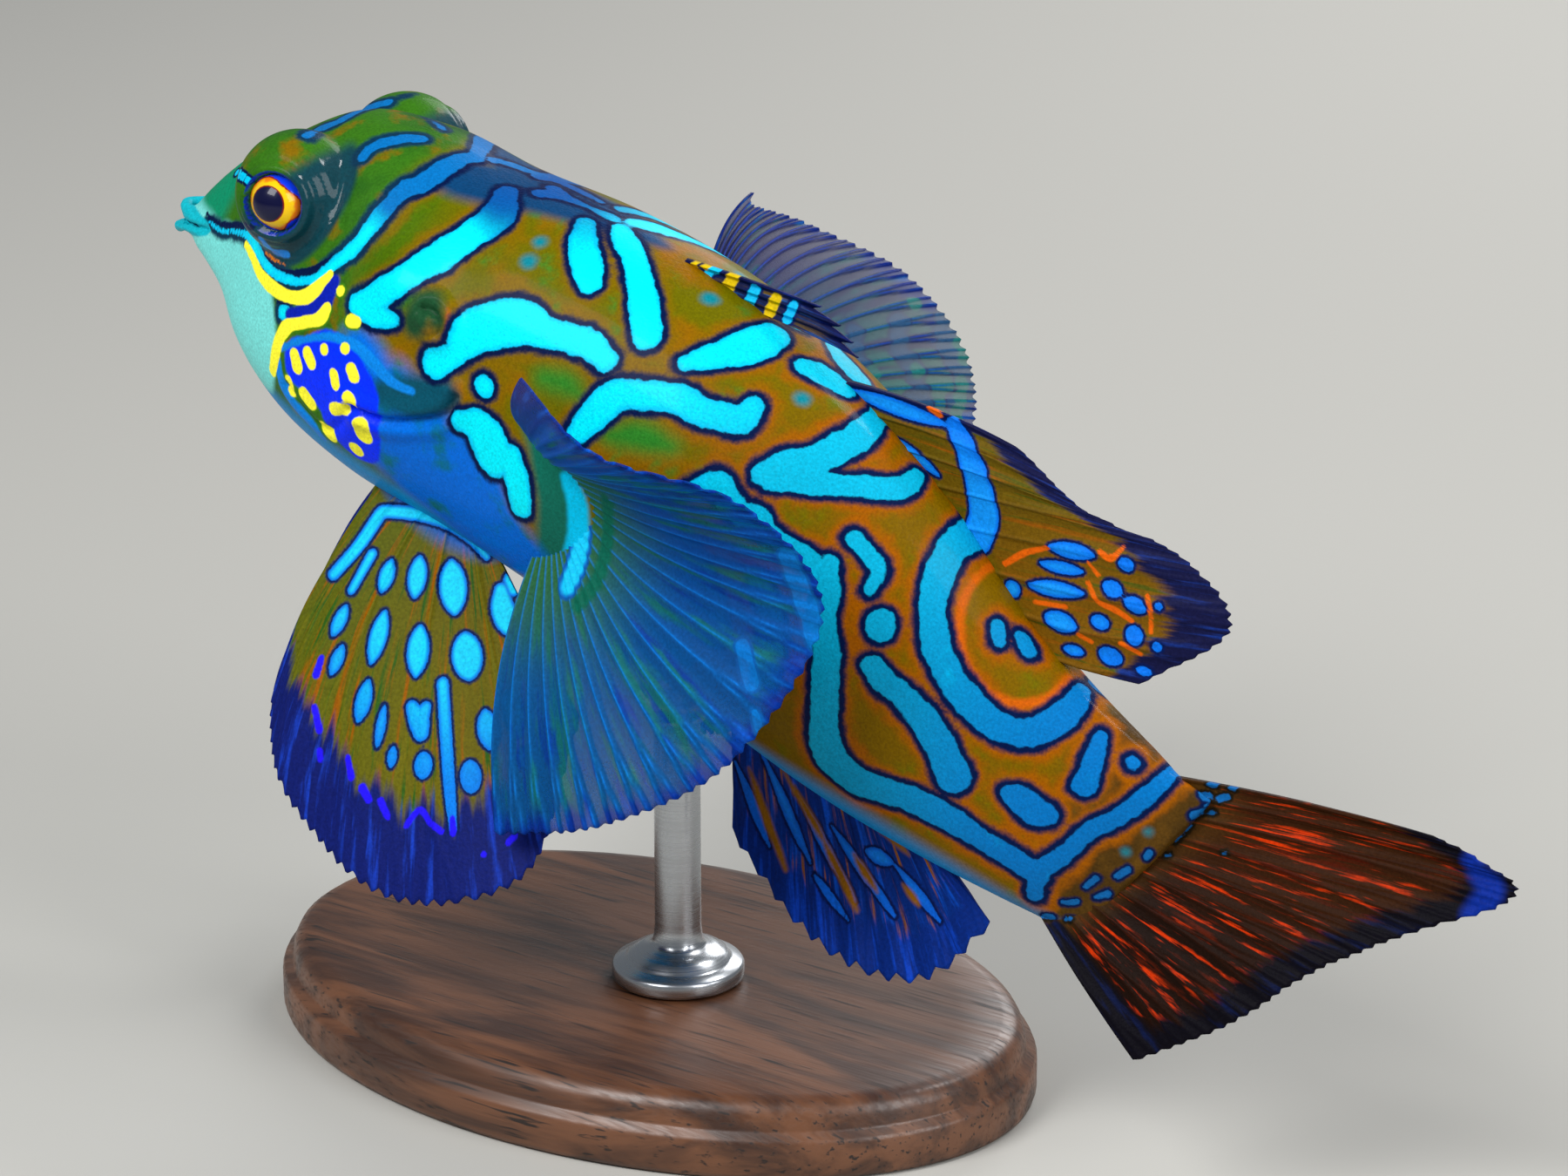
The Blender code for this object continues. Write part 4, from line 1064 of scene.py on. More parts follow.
def finSheet(name):
    # the middle surface in model millimetres, the share of each ray, and the ridge of the rays
    form = finForms[name]
    columns = (form["rays"] - 1) * form["perRay"] + 1
    rows = form["rows"]
    keys = np.array(finRays[name], float).reshape(-1, 9)
    t = np.linspace(0.0, 1.0, columns)
    values = curveThrough(t, np.linspace(0.0, 1.0, len(keys)), keys)[:, None]
    phase = (t * (form["rays"] - 1))[:, None]
    offset = phase - np.round(phase)
    share = np.linspace(0.0, 1.0, rows + 1)[None]

    def toRay(s):
        # distance across the fin to the nearest branch, in shares of the rays' spacing
        centres = [np.zeros_like(s)]
        for k, start in enumerate(form["splits"]):
            spread = 0.25 / 2**k * smoothStep(s, start, 1.05)
            centres = [c + hand * spread for c in centres for hand in (-1.0, 1.0)]
        return np.min([np.abs(offset - c) for c in centres], axis=0)

    tips = 0.5 / 2 ** len(form["splits"])
    calm = smoothStep(phase, 0.0, 2.0 * form["lead"]) if form["lead"] > 1.0 else np.ones_like(phase)
    reach = 1.0 - form["notch"] * calm * np.minimum(toRay(np.ones((1, 1))) / tips, 1.0)
    # the first ray of some fins stands out from the web behind it
    reach -= form.get("dip", 0.0) * smoothStep(phase, 0.2, 0.9) * (1 - smoothStep(phase, 1.0, 6.0))
    s = (share * reach)[..., None]
    sheet = values[..., :3] + s * (values[..., 3:6] - values[..., :3]) + 4 * s * (1 - s) * values[..., 6:]
    flat = toModel(sheet.reshape(-1, 3)).reshape(sheet.shape)
    across = np.gradient(flat, axis=0)
    normal = np.cross(across, np.gradient(flat, axis=1))
    normal /= np.maximum(np.linalg.norm(normal, axis=2), 1e-9)[..., None]
    spacing = np.linalg.norm(across, axis=2) * form["perRay"]
    ridge = calm * np.exp(-((toRay(share + 0 * offset) * spacing / form["rayWidth"]) ** 2))
    sag = form["wave"] * calm * np.cos(2 * pi * phase) * smoothStep(share, 0.1, 0.7)
    flat = flat + normal * sag[..., None]
    return {"name": name, "sheet": flat, "normal": normal, "ridge": ridge, "spacing": spacing,
            "phase": phase + 0 * share, "share": share + 0 * phase}


def finSolid(fin):
    # two faces and a rim
    form = finForms[fin["name"]]
    half = membrane["root"] + (membrane["edge"] - membrane["root"]) * fin["share"]
    half = half + form["rayHeight"] * fin["ridge"] * (1.0 - 0.65 * fin["share"])
    front = fin["sheet"] + fin["normal"] * half[..., None]
    rear = fin["sheet"] - fin["normal"] * half[..., None]
    columns, width = half.shape
    shift = columns * width
    grid = np.arange(shift).reshape(columns, width)
    a, b, c, d = grid[:-1, :-1].ravel(), grid[1:, :-1].ravel(), grid[1:, 1:].ravel(), grid[:-1, 1:].ravel()
    faces = np.concatenate([np.stack([a, b, c, d], 1), np.stack([d, c, b, a], 1) + shift])
    ring = np.concatenate([grid[:, 0], grid[-1, 1:], grid[-2::-1, -1], grid[0, -2:0:-1]])
    after = np.roll(ring, -1)
    rim = np.stack([after, ring, ring + shift, after + shift], 1)
    points = np.concatenate([front.reshape(-1, 3), rear.reshape(-1, 3)])
    return points, np.concatenate([faces, rim]).tolist()


def finTree(fin):
    columns, width = fin["share"].shape
    grid = np.arange(columns * width).reshape(columns, width)
    quads = np.stack([grid[:-1, :-1], grid[1:, :-1], grid[1:, 1:], grid[:-1, 1:]], 2).reshape(-1, 4)
    return BVHTree.FromPolygons(fin["sheet"].reshape(-1, 3).tolist(), quads.tolist())


def spot(x, y, wide, high, fan):
    # an oval spot drawn out along the ray that comes from the fan's centre
    way = np.array((x - fan[0], y - fan[1]), float)
    way /= np.linalg.norm(way)
    return [(x + way[0] * k * high, y + way[1] * k * high, wide * size)
            for k, size in ((-0.8, 0.35), (-0.45, 0.8), (0.0, 1.0), (0.45, 0.8), (0.8, 0.35))]


def oval(first, last):
    # an oval spot from one end to the other, each end as x, y and half the width
    ends = np.array((first, last), float)
    share = np.array((-0.15, 0.15, 0.5, 0.85, 1.15))[:, None]
    points = ends[0] * (1 - share) + ends[1] * share
    points[:, 2] *= (0.35, 0.85, 1.05, 0.85, 0.35)
    return points


def finMarks(fin, strokes, seen=None):
    # distance to the strokes over a fin; seen is the fin that the photo shows, if this is its pair
    shown = seen or fin
    tree = finTree(shown)
    centres, radii = [], []
    for stroke in strokes:
        samples = thread(stroke)
        centres.append(castPixels(tree, samples[:, :2]))
        radii.append(samples[:, 2] / photo["pixelsPerMm"])
    centres, radii = np.concatenate(centres), np.concatenate(radii)
    if seen:
        flat = seen["sheet"].reshape(-1, 3)
        index = [int(np.argmin(((flat - c) ** 2).sum(1))) for c in centres]
        centres = fin["sheet"].reshape(-1, 3)[index]
    return fieldOf(fin["sheet"].reshape(-1, 3), centres, radii)[0]


# where the pelvic fin's rays come together, in pixels of the photo
pelvicFan = (505, 470)
# spots and stripes of each fin, and its marks of a second colour, as strokes in the photo's pixels
finSpots = {
    "pelvicLeft": [spot(*values, pelvicFan) for values in (
        (445, 662, 10, 22), (480, 663, 12, 27), (521, 675, 17, 34), (435, 732, 12, 36), (481, 748, 14, 33),
        (537, 754, 19, 28), (605, 751, 12, 17), (418, 805, 11, 28), (438, 834, 6, 30), (561, 838, 13, 25),
        (591, 820, 12, 28), (487, 879, 12, 14), (451, 869, 6, 14), (541, 892, 13, 19), (605, 871, 10, 11),
        (391, 713, 9, 22), (388, 758, 8, 21))] + [
        ((576, 678, 9), (578, 700, 15), (588, 718, 14), (600, 722, 9)),
        ((597, 655, 8), (594, 672, 9)),
        ((474, 812, 8), (482, 828, 13), (484, 842, 10)),
        ((490, 812, 7), (484, 828, 10)),
        ((509, 785, 8), (513, 850, 8), (518, 920, 7), (521, 953, 5)),
        ((437, 592, 9), (415, 625, 9), (385, 660, 8)),
        ((428, 637, 7), (405, 678, 6)),
        ((440, 588, 8), (472, 590, 9), (510, 600, 8), (545, 622, 7), (560, 640, 5))],
    "dorsalSecond": [oval(*ends) for ends in (
        ((1213, 628, 9), (1250, 636, 9)), ((1202, 647, 7), (1238, 655, 7)),
        ((1162, 673, 10), (1167, 677, 10)), ((1192, 672, 10), (1238, 680, 8)),
        ((1272, 672, 9), (1284, 679, 9)), ((1290, 646, 8), (1297, 650, 8)),
        ((1297, 690, 9), (1312, 699, 8)), ((1207, 708, 11), (1231, 718, 11)),
        ((1258, 711, 8), (1270, 716, 8)), ((1301, 725, 10), (1305, 733, 10)),
        ((1268, 749, 10), (1284, 756, 10)), ((1308, 768, 5), (1320, 772, 5)),
        ((1147, 722, 8), (1149, 736, 8)), ((1178, 733, 8), (1182, 742, 8)),
        ((1226, 744, 6), (1242, 748, 6)), ((991, 452, 9), (1073, 482, 9)),
        ((1040, 509, 6), (1074, 540, 7)))] + [
        ((1331, 696, 5),),
        ((1329, 742, 6),),
        ((1096, 486, 9), (1108, 512, 12), (1120, 542, 15), (1128, 570, 18), (1131, 595, 20),
         (1124, 616, 20))],
    "anal": [oval(*ends) for ends in (
        ((1000, 978, 9), (1022, 988, 9)), ((850, 885, 6), (880, 960, 6)), ((884, 880, 6), (925, 975, 7)),
        ((925, 925, 6), (975, 1020, 7)), ((965, 960, 6), (1020, 1040, 7)),
        ((1035, 1000, 6), (1075, 1050, 6)), ((940, 1010, 5), (970, 1050, 5)))],
    "caudal": stemDots,
    "pectoralLeft": [((853, 742, 9), (858, 762, 11), (864, 785, 9)), ((868, 820, 6), (872, 836, 6)),
                     ((656, 548, 12), (666, 570, 14), (671, 610, 16), (664, 650, 17), (655, 672, 15)),
                     ((905, 640, 12), (925, 690, 14), (938, 735, 12))],
    "dorsalFirst": [((811, 322, 6), (818, 306, 6)), ((862, 346, 7), (869, 330, 7)),
                    ((905, 366, 6), (912, 350, 6))],
}
finAccents = {
    "pelvicLeft": [((370, 756, 4), (364, 775, 5)), ((362, 812, 4), (368, 838, 5)),
                   ((368, 862, 4), (369, 872, 4)), ((400, 870, 4), (404, 892, 5)),
                   ((417, 905, 6), (424, 918, 5)), ((438, 920, 5), (446, 938, 4)),
                   ((467, 948, 4), (484, 930, 4), (495, 945, 4), (508, 955, 4)),
                   ((520, 940, 4), (521, 956, 5)), ((584, 968, 4), (592, 960, 4)), ((556, 981, 4),)],
    "pectoralLeft": [((700, 572, 11), (701, 610, 11), (695, 645, 11), (686, 670, 11), (666, 694, 11))],
    "dorsalFirst": [((795, 312, 5), (802, 298, 5)), ((835, 334, 8), (843, 317, 8)),
                    ((885, 358, 7), (892, 342, 7))],
    "dorsalSecond": [((1263, 632, 3), (1275, 641, 4), (1290, 628, 3)),
                     ((1250, 668, 3), (1262, 690, 3), (1282, 700, 4), (1300, 712, 3)),
                     ((1318, 684, 3), (1322, 705, 3), (1322, 725, 3)), ((1240, 728, 3), (1254, 736, 3)),
                     ((1288, 738, 3), (1310, 750, 3)), ((1250, 645, 2), (1262, 660, 3)),
                     ((1190, 690, 3), (1225, 696, 3)), ((1066, 466, 4), (1080, 476, 4)),
                     ((1156, 646, 4), (1178, 634, 4), (1204, 628, 3))],
    "anal": [oval(*ends) for ends in (
        ((866, 895, 5), (898, 985, 7)), ((905, 890, 4), (945, 960, 6)), ((948, 965, 5), (980, 1035, 7)),
        ((985, 985, 5), (1005, 1018, 6)), ((1040, 1018, 5), (1054, 1036, 5)),
        ((1002, 940, 4), (1040, 975, 5)))],
    "caudal": [((1690, 990, 12), (1712, 1022, 16), (1690, 1052, 14))],
}
pairOf = {"pelvicRight": "pelvicLeft", "pectoralRight": "pectoralLeft"}

# Colours of each fin: membrane in front and behind, two kinds of streak along the rays, the rays, the
# root and margin with how far out they reach, and the marks. fineness: streaks to a millimetre;
# clear: how much light the membrane lets through; soft: half the width of an accent's edge, mm
finLooks = {
    "pelvicLeft": {"ground": "#5A5E10", "rear": "#665E10", "streak": "#965604", "second": "#2E5A18",
                   "ray": "#6E6A12", "root": "#0A62C0", "margin": "#101C64", "marginStreak": "#183CB4",
                   "spot": "#1CD4F8", "spotDeep": "#0A78E0", "spotLine": "#041C50", "accent": "#2414F0",
                   "fineness": 1.6, "streakFrom": 0.52, "rootTo": 0.1, "marginFrom": 0.72,
                   "clear": 0.0, "soft": 0.05},
    "pectoralLeft": {"ground": "#084EAE", "rear": "#0A508C", "streak": "#12686C", "second": "#063C94",
                     "ray": "#0C84F0", "root": "#2C6438", "margin": "#042C88", "marginStreak": "#0A50B8",
                     "spot": "#18C4F0", "spotDeep": "#0A70C4", "spotLine": "#0A58A4", "accent": "#0C6450",
                     "fineness": 1.5, "streakFrom": 0.5, "rootTo": 0.6, "marginFrom": 0.95,
                     "clear": 0.28, "soft": 0.16},
    "pectoralRight": {"ground": "#34365E", "rear": "#186A64", "streak": "#26305A", "second": "#1C5664",
                      "ray": "#0844B8", "root": "#0A4EA8", "margin": "#0A2270", "marginStreak": "#1C5AA8",
                      "spot": "#26507A", "spotDeep": "#244A70", "spotLine": "#263A62", "accent": "#1C6A6A",
                      "fineness": 1.3, "streakFrom": 0.5, "rootTo": 0.2, "marginFrom": 0.95,
                      "clear": 0.5, "soft": 0.05},
    "anal": {"ground": "#052C80", "rear": "#062C7C", "streak": "#0A52CC", "second": "#94580A",
             "ray": "#06144A", "root": "#0848A0", "margin": "#072878", "marginStreak": "#0C40B8",
             "spot": "#1284EC", "spotDeep": "#0A60D4", "spotLine": "#04164C", "accent": "#96600E",
             "fineness": 1.3, "streakFrom": 0.5, "rootTo": 0.08, "marginFrom": 0.74,
             "clear": 0.0, "soft": 0.14},
    "caudal": {"ground": "#341A08", "rear": "#1A0C06", "streak": "#CC3404", "second": "#4A1404",
               "ray": "#260E04", "root": "#4A300E", "margin": "#0A0810", "marginStreak": "#0A1438",
               "spot": "#0E5C9C", "spotDeep": "#0E5C9C", "spotLine": "#1A1408", "accent": "#0A2A8C",
               "fineness": 3.2, "streakFrom": 0.54, "rootTo": 0.34, "marginFrom": 0.86,
               "clear": 0.0, "soft": 0.3},
    "dorsalFirst": {"ground": "#0E1A44", "rear": "#0E1A44", "streak": "#6A5206", "second": "#084C98",
                    "ray": "#0A1640", "root": "#5A4A06", "margin": "#080E3C", "marginStreak": "#0C2C88",
                    "spot": "#0CC8F4", "spotDeep": "#0CB8EC", "spotLine": "#041850", "accent": "#D8B806",
                    "fineness": 1.3, "streakFrom": 0.5, "rootTo": 0.1, "marginFrom": 0.9,
                    "clear": 0.0, "soft": 0.05},
    "dorsalSecond": {"ground": "#64500A", "rear": "#74500A", "streak": "#8A4E08", "second": "#4C5010",
                     "ray": "#3C2A08", "root": "#585408", "margin": "#14163C", "marginStreak": "#16307C",
                     "spot": "#1490EC", "spotDeep": "#0A70E4", "spotLine": "#04164C", "accent": "#E0600A",
                     "fineness": 1.6, "streakFrom": 0.52, "rootTo": 0.16, "marginFrom": 0.76,
                     "clear": 0.0, "soft": 0.05},
}
finLooks["pelvicRight"] = finLooks["pelvicLeft"]
finFilm = {"Roughness": 0.5, "IOR": 1.2, "Specular IOR Level": 0.2}
finSkin = {
    "drawnOut": 0.09,  # a streak's width as a share of its length
    "broadStreak": 2.4,  # streaks of the second kind to a millimetre
    "grain": 0.14,  # sizes in mm
    "relief": 0.05,
}


def wetFin(name):
    # wet fin skin, stretched thin between soft rays: satin with streaks and fine ridges that run
    # out along the rays, and half clear on the pectorals
    material, tree, shader = newMaterial("wetFin." + name, finFilm)
    look = finLooks[name]
    colour = {key: linear(value) for key, value in look.items() if isinstance(value, str)}
    place = addNode(tree, "ShaderNodeTexCoord", out="Object")
    lie = addNode(tree, "ShaderNodeAttribute", attribute_name="lie", out="Vector")
    ray, share, border, across, spots, accents = (
        addNode(tree, "ShaderNodeAttribute", attribute_name=key, out="Fac")
        for key in ("ray", "share", "border", "across", "spot", "accent"))
    streaks, second = (addNode(tree, "ShaderNodeTexNoise", {"Vector": lie, "Scale": scale, "Detail": 3.0,
                                                            "Roughness": 0.6})
                       for scale in (look["fineness"], finSkin["broadStreak"]))
    grain = addNode(tree, "ShaderNodeTexNoise", {"Vector": place, "Scale": 1.0 / (finSkin["grain"] * mm),
                                                 "Detail": 3.0})
    edges = []
    for distance, amount in ((spots, 0.12), (accents, 0.1)):
        edge = addNode(tree, "ShaderNodeMath", {0: grain, 1: amount, 2: distance}, operation="MULTIPLY_ADD")
        edges.append(addNode(tree, "ShaderNodeMath", {0: edge, 1: amount / 2}, operation="SUBTRACT"))
    mark, accent = edges
    margin = layer(tree, colour["margin"], colour["marginStreak"], second, 0.5, 0.7)
    ragged = addNode(tree, "ShaderNodeMath", {0: streaks, 1: 0.3, 2: share}, operation="MULTIPLY_ADD")
    inside = layer(tree, colour["spot"], colour["spotDeep"], share, 0.25, 0.75)
    inside = layer(tree, colour["spotDeep"], inside, mark, -0.02, -0.22)
    shown = paint(tree, colour["ground"], (
        (colour["rear"], across, 0.25, 0.75),
        (colour["streak"], streaks, look["streakFrom"], look["streakFrom"] + 0.14),
        (colour["second"], second, 0.54, 0.68),
        (colour["root"], share, look["rootTo"], look["rootTo"] * 0.3),
        (colour["ray"], ray, 0.35, 1.6),
        (margin, ragged, look["marginFrom"] + 0.12, look["marginFrom"] + 0.2),
        (margin, border, 0.3, 0.8),
        (colour["spotLine"], mark, 0.2, 0.06),
        (inside, mark, 0.03, -0.04),
        (colour["accent"], accent, look["soft"], -look["soft"])))
    shade = addNode(tree, "ShaderNodeMapRange", {0: grain, 1: 0.3, 2: 0.7, 3: 0.8, 4: 1.15})
    shown = addNode(tree, "ShaderNodeMix", {0: 1.0, 6: shown, 7: shade}, out=2,
                    data_type="RGBA", blend_type="MULTIPLY")
    tree.links.new(shown, shader.inputs["Base Color"])
    if look["clear"] > 0.0:
        # the membrane thins towards the edge and lets light through between the rays
        thin = addNode(tree, "ShaderNodeMapRange", {0: share, 1: 0.2, 2: 0.9, 3: 1.0,
                                                    4: 1.0 - look["clear"]})
        solid = addNode(tree, "ShaderNodeMath", {0: ray, 1: 0.6, 2: thin}, operation="MULTIPLY_ADD",
                        use_clamp=True)
        tree.links.new(solid, shader.inputs["Alpha"])
    heights = addNode(tree, "ShaderNodeMath", {0: second, 1: 1.2, 2: grain}, operation="MULTIPLY_ADD")
    normal = addNode(tree, "ShaderNodeBump", {"Strength": 0.4, "Distance": finSkin["relief"] * mm,
                                              "Height": heights})
    tree.links.new(normal, shader.inputs["Normal"])
    return material


def finBorder(fin):
    # the dark border along the first and last rays, which fades out at the root
    form = finForms[fin["name"]]
    border = np.zeros_like(fin["phase"])
    for width, away in ((form["lead"], fin["phase"]), (form["trail"], form["rays"] - 1 - fin["phase"])):
        if width > 0.0:
            border = np.maximum(border, 1.0 - smoothStep(away, 0.4 * width, width))
    return border * smoothStep(fin["share"], 0.04, 0.2)


def addFin(fin, fins):
    # fins holds every fin, so that the one of a pair that the photo hides can take its pair's marks
    name, form = fin["name"], finForms[fin["name"]]
    seen = fins.get(pairOf.get(name))
    marked = pairOf.get(name, name)
    unmarked = np.full(fin["share"].size, marking["reach"])
    spots = finMarks(fin, finSpots[marked], seen) if marked in finSpots else unmarked
    accents = finMarks(fin, finAccents[marked], seen) if marked in finAccents else unmarked
    # the streaks' own coordinates, across the rays and along them
    middle = fin["spacing"][:, fin["spacing"].shape[1] // 2].mean()
    length = np.linalg.norm(fin["sheet"][:, -1] - fin["sheet"][:, 0], axis=1).mean()
    lie = np.stack([fin["phase"] * middle, fin["share"] * length * finSkin["drawnOut"],
                    0 * fin["share"]], 2).reshape(-1, 3)
    points, faces = finSolid(fin)
    fields = {"ray": fin["ridge"].ravel(), "share": fin["share"].ravel(),
              "border": finBorder(fin).ravel(), "across": (fin["phase"] / (form["rays"] - 1)).ravel(),
              "spot": spots, "accent": accents}
    fields = {key: np.tile(value, 2) for key, value in fields.items()}
    addPiece(name + "Fin", points, faces, wetFin(name), (form["node"],), fields,
             {"lie": np.tile(lie, (2, 1))})


fins = {name: finSheet(name) for name in finForms}
for fin in fins.values():
    addFin(fin, fins)
print("fins added,", len(fins))

# Eyes: a ball on each side, its iris and pupil drawn round the way it looks
eyeLook = {
    "pupil": "#060830",
    "inner": "#F0C000",
    "middle": "#E07404",
    "outer": "#7C1008",
    "rim": "#0C38DC",
}
eyeFilm = {"Roughness": 0.3, "IOR": 1.38, "Specular IOR Level": 0.2, "Coat Weight": 0.6,
           "Coat Roughness": 0.02, "Coat IOR": 1.38}


def addEye(hand):
    axis = np.array(eye["look"]) * (1, hand, 1)
    axis /= np.linalg.norm(axis)
    ahead = np.array((-1.0, 0.0, 0.0))
    ahead -= axis * (ahead @ axis)
    ahead /= np.linalg.norm(ahead)
    upward = np.cross(axis, ahead) * hand
    centre = np.array(eye["bulge"]) * (1, hand, 1) + axis * eye["out"]
    points, faces = ballMesh((0.0, 0.0, 0.0), 1.0)
    out = points @ axis
    flat = np.stack([points @ ahead, points @ upward, out], 1) * eye["radius"]
    away = np.hypot(flat[:, 0], flat[:, 1])
    # the cornea domes over the iris, with a low step round its edge
    cornea = np.where(out > 0, eye["cornea"] * (1 - smoothStep(away, 0.5, 1.25)), 0.0)
    place = centre + points * (eye["radius"] + cornea[:, None])
    side = "Left" if hand < 0 else "Right"
    bearing = np.degrees(np.arctan2(flat[:, 1], flat[:, 0]))
    edge = np.interp(bearing, *np.array(eye["fringe"]).T, period=360.0)
    fields = {"pupil": np.hypot(flat[:, 0] - eye["pupilAhead"], flat[:, 1]), "away": away,
              "fringe": away - edge}
    fields = {name: np.where(out > 0, value, marking["reach"]) for name, value in fields.items()}
    addPiece("eye" + side, toModel(place), faces, wetEye(side), ("eye_" + side.lower(),),
             fields, {"iris": flat})


def wetEye(side):
    # clear cornea over a golden iris, wet and polished, so it takes one sharp highlight
    material, tree, shader = newMaterial("wetEye" + side, eyeFilm)
    colour = {key: linear(value) for key, value in eyeLook.items()}
    iris = addNode(tree, "ShaderNodeAttribute", attribute_name="iris", out="Vector")
    # distances in millimetres from the iris's middle, the pupil's middle and the ragged outer edge
    away, pupil, fringe = (addNode(tree, "ShaderNodeAttribute", attribute_name=name, out="Fac")
                           for name in ("away", "pupil", "fringe"))
    spokes = addNode(tree, "ShaderNodeVectorMath", {0: iris}, operation="NORMALIZE")
    # blotches about 0.6 mm wide, and fibres about 0.2 mm apart that run in towards the pupil
    uneven = addNode(tree, "ShaderNodeTexNoise", {"Vector": iris, "Scale": 1.6, "Detail": 2.0})
    fibres = addNode(tree, "ShaderNodeTexNoise", {"Vector": spokes, "Scale": 7.0, "Detail": 3.0,
                                                  "Roughness": 0.65})
    warm = addNode(tree, "ShaderNodeMath", {0: uneven, 1: 0.7, 2: away}, operation="MULTIPLY_ADD")
    edge = addNode(tree, "ShaderNodeMath", {0: fibres, 1: 0.16, 2: fringe}, operation="MULTIPLY_ADD")
    shown = paint(tree, colour["inner"], (
        (colour["middle"], warm, 1.32, 1.5),
        (colour["outer"], edge, 0.02, 0.08),
        (colour["rim"], edge, 0.09, 0.13),
        (colour["outer"], pupil, 0.81, 0.77),
        (colour["pupil"], pupil, 0.76, 0.71)))
    tree.links.new(shown, shader.inputs["Base Color"])
    return material


for hand in (-1.0, 1.0):
    addEye(hand)
print("eyes added")

# Display stand: an oval board of dark walnut and a turned steel rod under the belly
stand = {
    "length": 38.0,
    "width": 26.0,
    # inset and height of the board's moulded edge, mm
    "edge": ((0.35, 0.0), (0.08, 0.12), (0.0, 0.35), (0.0, 1.7), (0.1, 1.95), (0.45, 2.1), (0.5, 2.25),
             (0.55, 2.75), (0.75, 3.15), (1.1, 3.4), (1.6, 3.5)),
    "topRings": (2.0, 5.0, 8.0, 11.0),  # further in, over the flat top
    "rodAt": 31.0,  # along the fish
    "gap": 0.02,  # between board and rod
    # radius and height of the turned foot, from the board up, and of the shaft and seat, from the belly
    "foot": ((2.7, 0.0), (2.95, 0.12), (3.0, 0.3), (3.0, 0.7), (2.9, 0.85), (2.5, 0.95), (2.35, 1.05),
             (2.2, 1.3), (1.7, 1.5), (1.3, 1.62), (1.12, 1.9), (1.05, 2.6)),
    "shaft": ((1.05, -5.2), (1.05, -4.0), (1.3, -3.85), (1.3, -3.55), (1.1, -3.4), (1.15, -3.0),
              (1.5, -2.4), (1.95, -1.9), (2.1, -1.5), (2.1, 1.5)),
    "intoBelly": 0.12,
    "sides": 96,
    "rodSides": 64,
    "wood": "#6B432A",
    "darkGrain": "#3A2114",
    "pore": "#1F110A",
    "steel": "#B9BCC0",
    # width of the grain, the pores and the tool marks, mm
    "grainWidth": 2.2,
    "poreWidth": 0.22,
    "toolMark": 0.08,
}


def addBoard():
    # rings over the moulded edge, then in over the flat top to the middle
    rings = []
    inset, top = stand["edge"][-1]
    profile = list(stand["edge"]) + [(inset + step, top) for step in stand["topRings"]]
    turn = np.arange(stand["sides"]) * 2 * pi / stand["sides"]
    for inset, height in profile:
        rings.append(np.stack([(stand["length"] / 2 - inset) * np.cos(turn),
                               (stand["width"] / 2 - inset) * np.sin(turn), height + 0 * turn], 1))
    points, faces = closedTube(np.array(rings))
    addPiece("standBoard", points, faces, oiledWalnut(), ("stand_base",))


def oiledWalnut():
    # walnut planed, oiled and rubbed: straight brown grain with open pores and a soft sheen
    material, tree, shader = newMaterial("oiledWalnut", {
        "Roughness": 0.42, "IOR": 1.5, "Coat Weight": 0.15, "Coat Roughness": 0.3})
    place = addNode(tree, "ShaderNodeTexCoord", out="Object")
    # stretched along the board
    drawn = addNode(tree, "ShaderNodeMapping", {"Vector": place, "Scale": (0.12, 1.0, 1.0),
                                                "Rotation": (0.0, 0.0, radians(3.0))})
    rings = addNode(tree, "ShaderNodeTexNoise", {"Vector": drawn, "Scale": 1.0 / (stand["grainWidth"] * mm),
                                                 "Detail": 4.0, "Roughness": 0.6, "Distortion": 0.6})
    fine = addNode(tree, "ShaderNodeMapping", {"Vector": place, "Scale": (0.05, 1.0, 1.0)})
    pores = addNode(tree, "ShaderNodeTexNoise", {"Vector": fine, "Scale": 1.0 / (stand["poreWidth"] * mm),
                                                 "Detail": 2.0})
    shown = layer(tree, linear(stand["darkGrain"]), linear(stand["wood"]), rings, 0.35, 0.62)
    shown = layer(tree, shown, linear(stand["pore"]), pores, 0.58, 0.72)
    tree.links.new(shown, shader.inputs["Base Color"])
    rough = addNode(tree, "ShaderNodeMapRange", {0: pores, 1: 0.4, 2: 0.7, 3: 0.36, 4: 0.6})
    tree.links.new(rough, shader.inputs["Roughness"])
    normal = addNode(tree, "ShaderNodeBump", {"Strength": 0.3, "Distance": 0.04 * mm, "Height": pores})
    tree.links.new(normal, shader.inputs["Normal"])
    return material


def addRod():
    # turned foot with a bead, a slim shaft and a flared seat cut to the belly
    under = toModel([onBelly(stand["rodAt"])])[0]
    middle = np.array((under[0], under[1]))
    foot = stand["edge"][-1][1] + stand["gap"]
    reach = under[2]
    profile = [(r, foot + h) for r, h in stand["foot"]] + [(r, reach + h) for r, h in stand["shaft"]]
    turn = np.arange(stand["rodSides"]) * 2 * pi / stand["rodSides"]
    rings = [np.stack([middle[0] + r * np.cos(turn), middle[1] + r * np.sin(turn), h + 0 * turn], 1)
             for r, h in profile]
    points, faces = closedTube(np.array(rings))
    # the seat follows the belly a little above its skin, out of sight inside it
    for k in np.where(points[:, 2] > reach)[0]:
        way = Vector((0.0, 0.0, 1.0))
        hit = skinTree.ray_cast(Vector((*points[k, :2], reach - 8.0)), way)[0]
        points[k, 2] = hit[2] + stand["intoBelly"] if hit else reach
    addPiece("standRod", points, faces, brushedSteel(), ("stand_rod",))


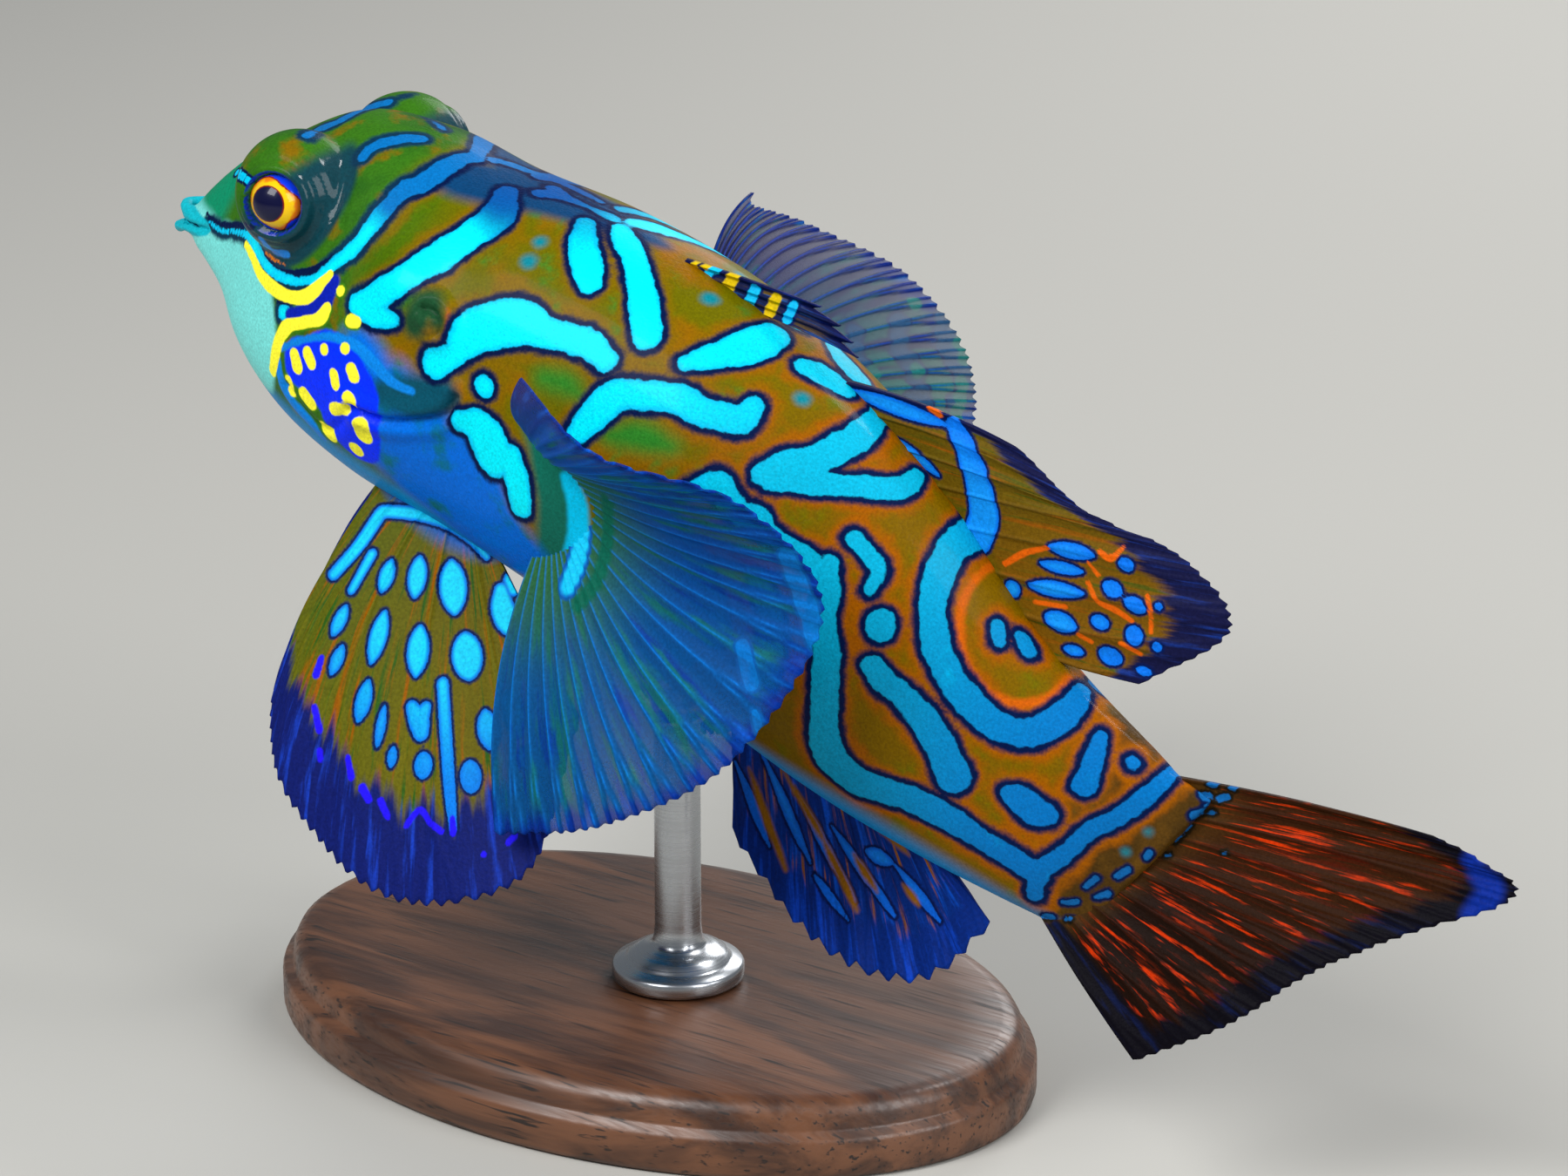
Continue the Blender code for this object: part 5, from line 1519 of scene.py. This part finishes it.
def brushedSteel():
    # stainless steel turned on a lathe: fine rings round the rod under a soft polish
    material, tree, shader = newMaterial("brushedSteel", {
        "Metallic": 1.0, "Roughness": 0.28, "Base Color": linear(stand["steel"])})
    place = addNode(tree, "ShaderNodeTexCoord", out="Object")
    # tool marks drawn out round the rod
    drawn = addNode(tree, "ShaderNodeMapping", {"Vector": place, "Scale": (0.01, 0.01, 1.0)})
    scores = addNode(tree, "ShaderNodeTexNoise", {"Vector": drawn, "Scale": 1.0 / (stand["toolMark"] * mm),
                                                  "Detail": 3.0})
    rough = addNode(tree, "ShaderNodeMapRange", {0: scores, 1: 0.35, 2: 0.65, 3: 0.24, 4: 0.32})
    tree.links.new(rough, shader.inputs["Roughness"])
    normal = addNode(tree, "ShaderNodeBump", {"Strength": 0.08, "Distance": 0.01 * mm, "Height": scores})
    tree.links.new(normal, shader.inputs["Normal"])
    return material


addBoard()
addRod()
print("stand added")

# Floor and light
studio = {
    "floor": "#B4B2AC",
    "floorSize": 4.0,  # metres
    "world": "#DCE4EC",
    "worldStrength": 0.28,
    # each lamp's way from the fish in the camera's axes (right, up, back), distance and size in mm, watts
    "lamps": {
        "keyLight": ((-0.6, 0.55, 0.75), 260.0, 130.0, 0.62),
        "fillLight": ((0.8, 0.3, 0.8), 320.0, 200.0, 0.78),
        "rimLight": ((0.4, 0.8, -0.8), 280.0, 120.0, 0.25),
        "glintLight": ((0.55, 0.83, 0.07), 260.0, 40.0, 0.16),
    },
}


def addStudio():
    bpy.context.scene.view_settings.view_transform = "Standard"  # shows the colours as they are painted
    # matt seamless paper, a quiet pale ground for the colours
    material, tree, shader = newMaterial("paperFloor", {"Roughness": 0.85,
                                                        "Base Color": linear(studio["floor"])})
    bpy.ops.mesh.primitive_plane_add(size=studio["floorSize"])
    floor = bpy.context.object
    floor.name = "floor"
    floor.data.materials.append(material)
    world = bpy.data.worlds.new("studio")
    bpy.context.scene.world = world
    world.use_nodes = True
    background = world.node_tree.nodes["Background"]
    background.inputs["Color"].default_value = linear(studio["world"])
    background.inputs["Strength"].default_value = studio["worldStrength"]
    middle = np.array(photo["aim"])
    for name, (way, distance, size, power) in studio["lamps"].items():
        lamp = bpy.data.objects.new(name, bpy.data.lights.new(name, "AREA"))
        bpy.context.scene.collection.objects.link(lamp)
        way = np.array(way) @ np.array(cameraAxes())
        place = middle + way / np.linalg.norm(way) * distance
        lamp.location = Vector(place * mm)
        lamp.rotation_euler = Vector(place - middle).to_track_quat("Z", "Y").to_euler()
        lamp.data.size = size * mm
        lamp.data.energy = power


addStudio()
print("studio set")
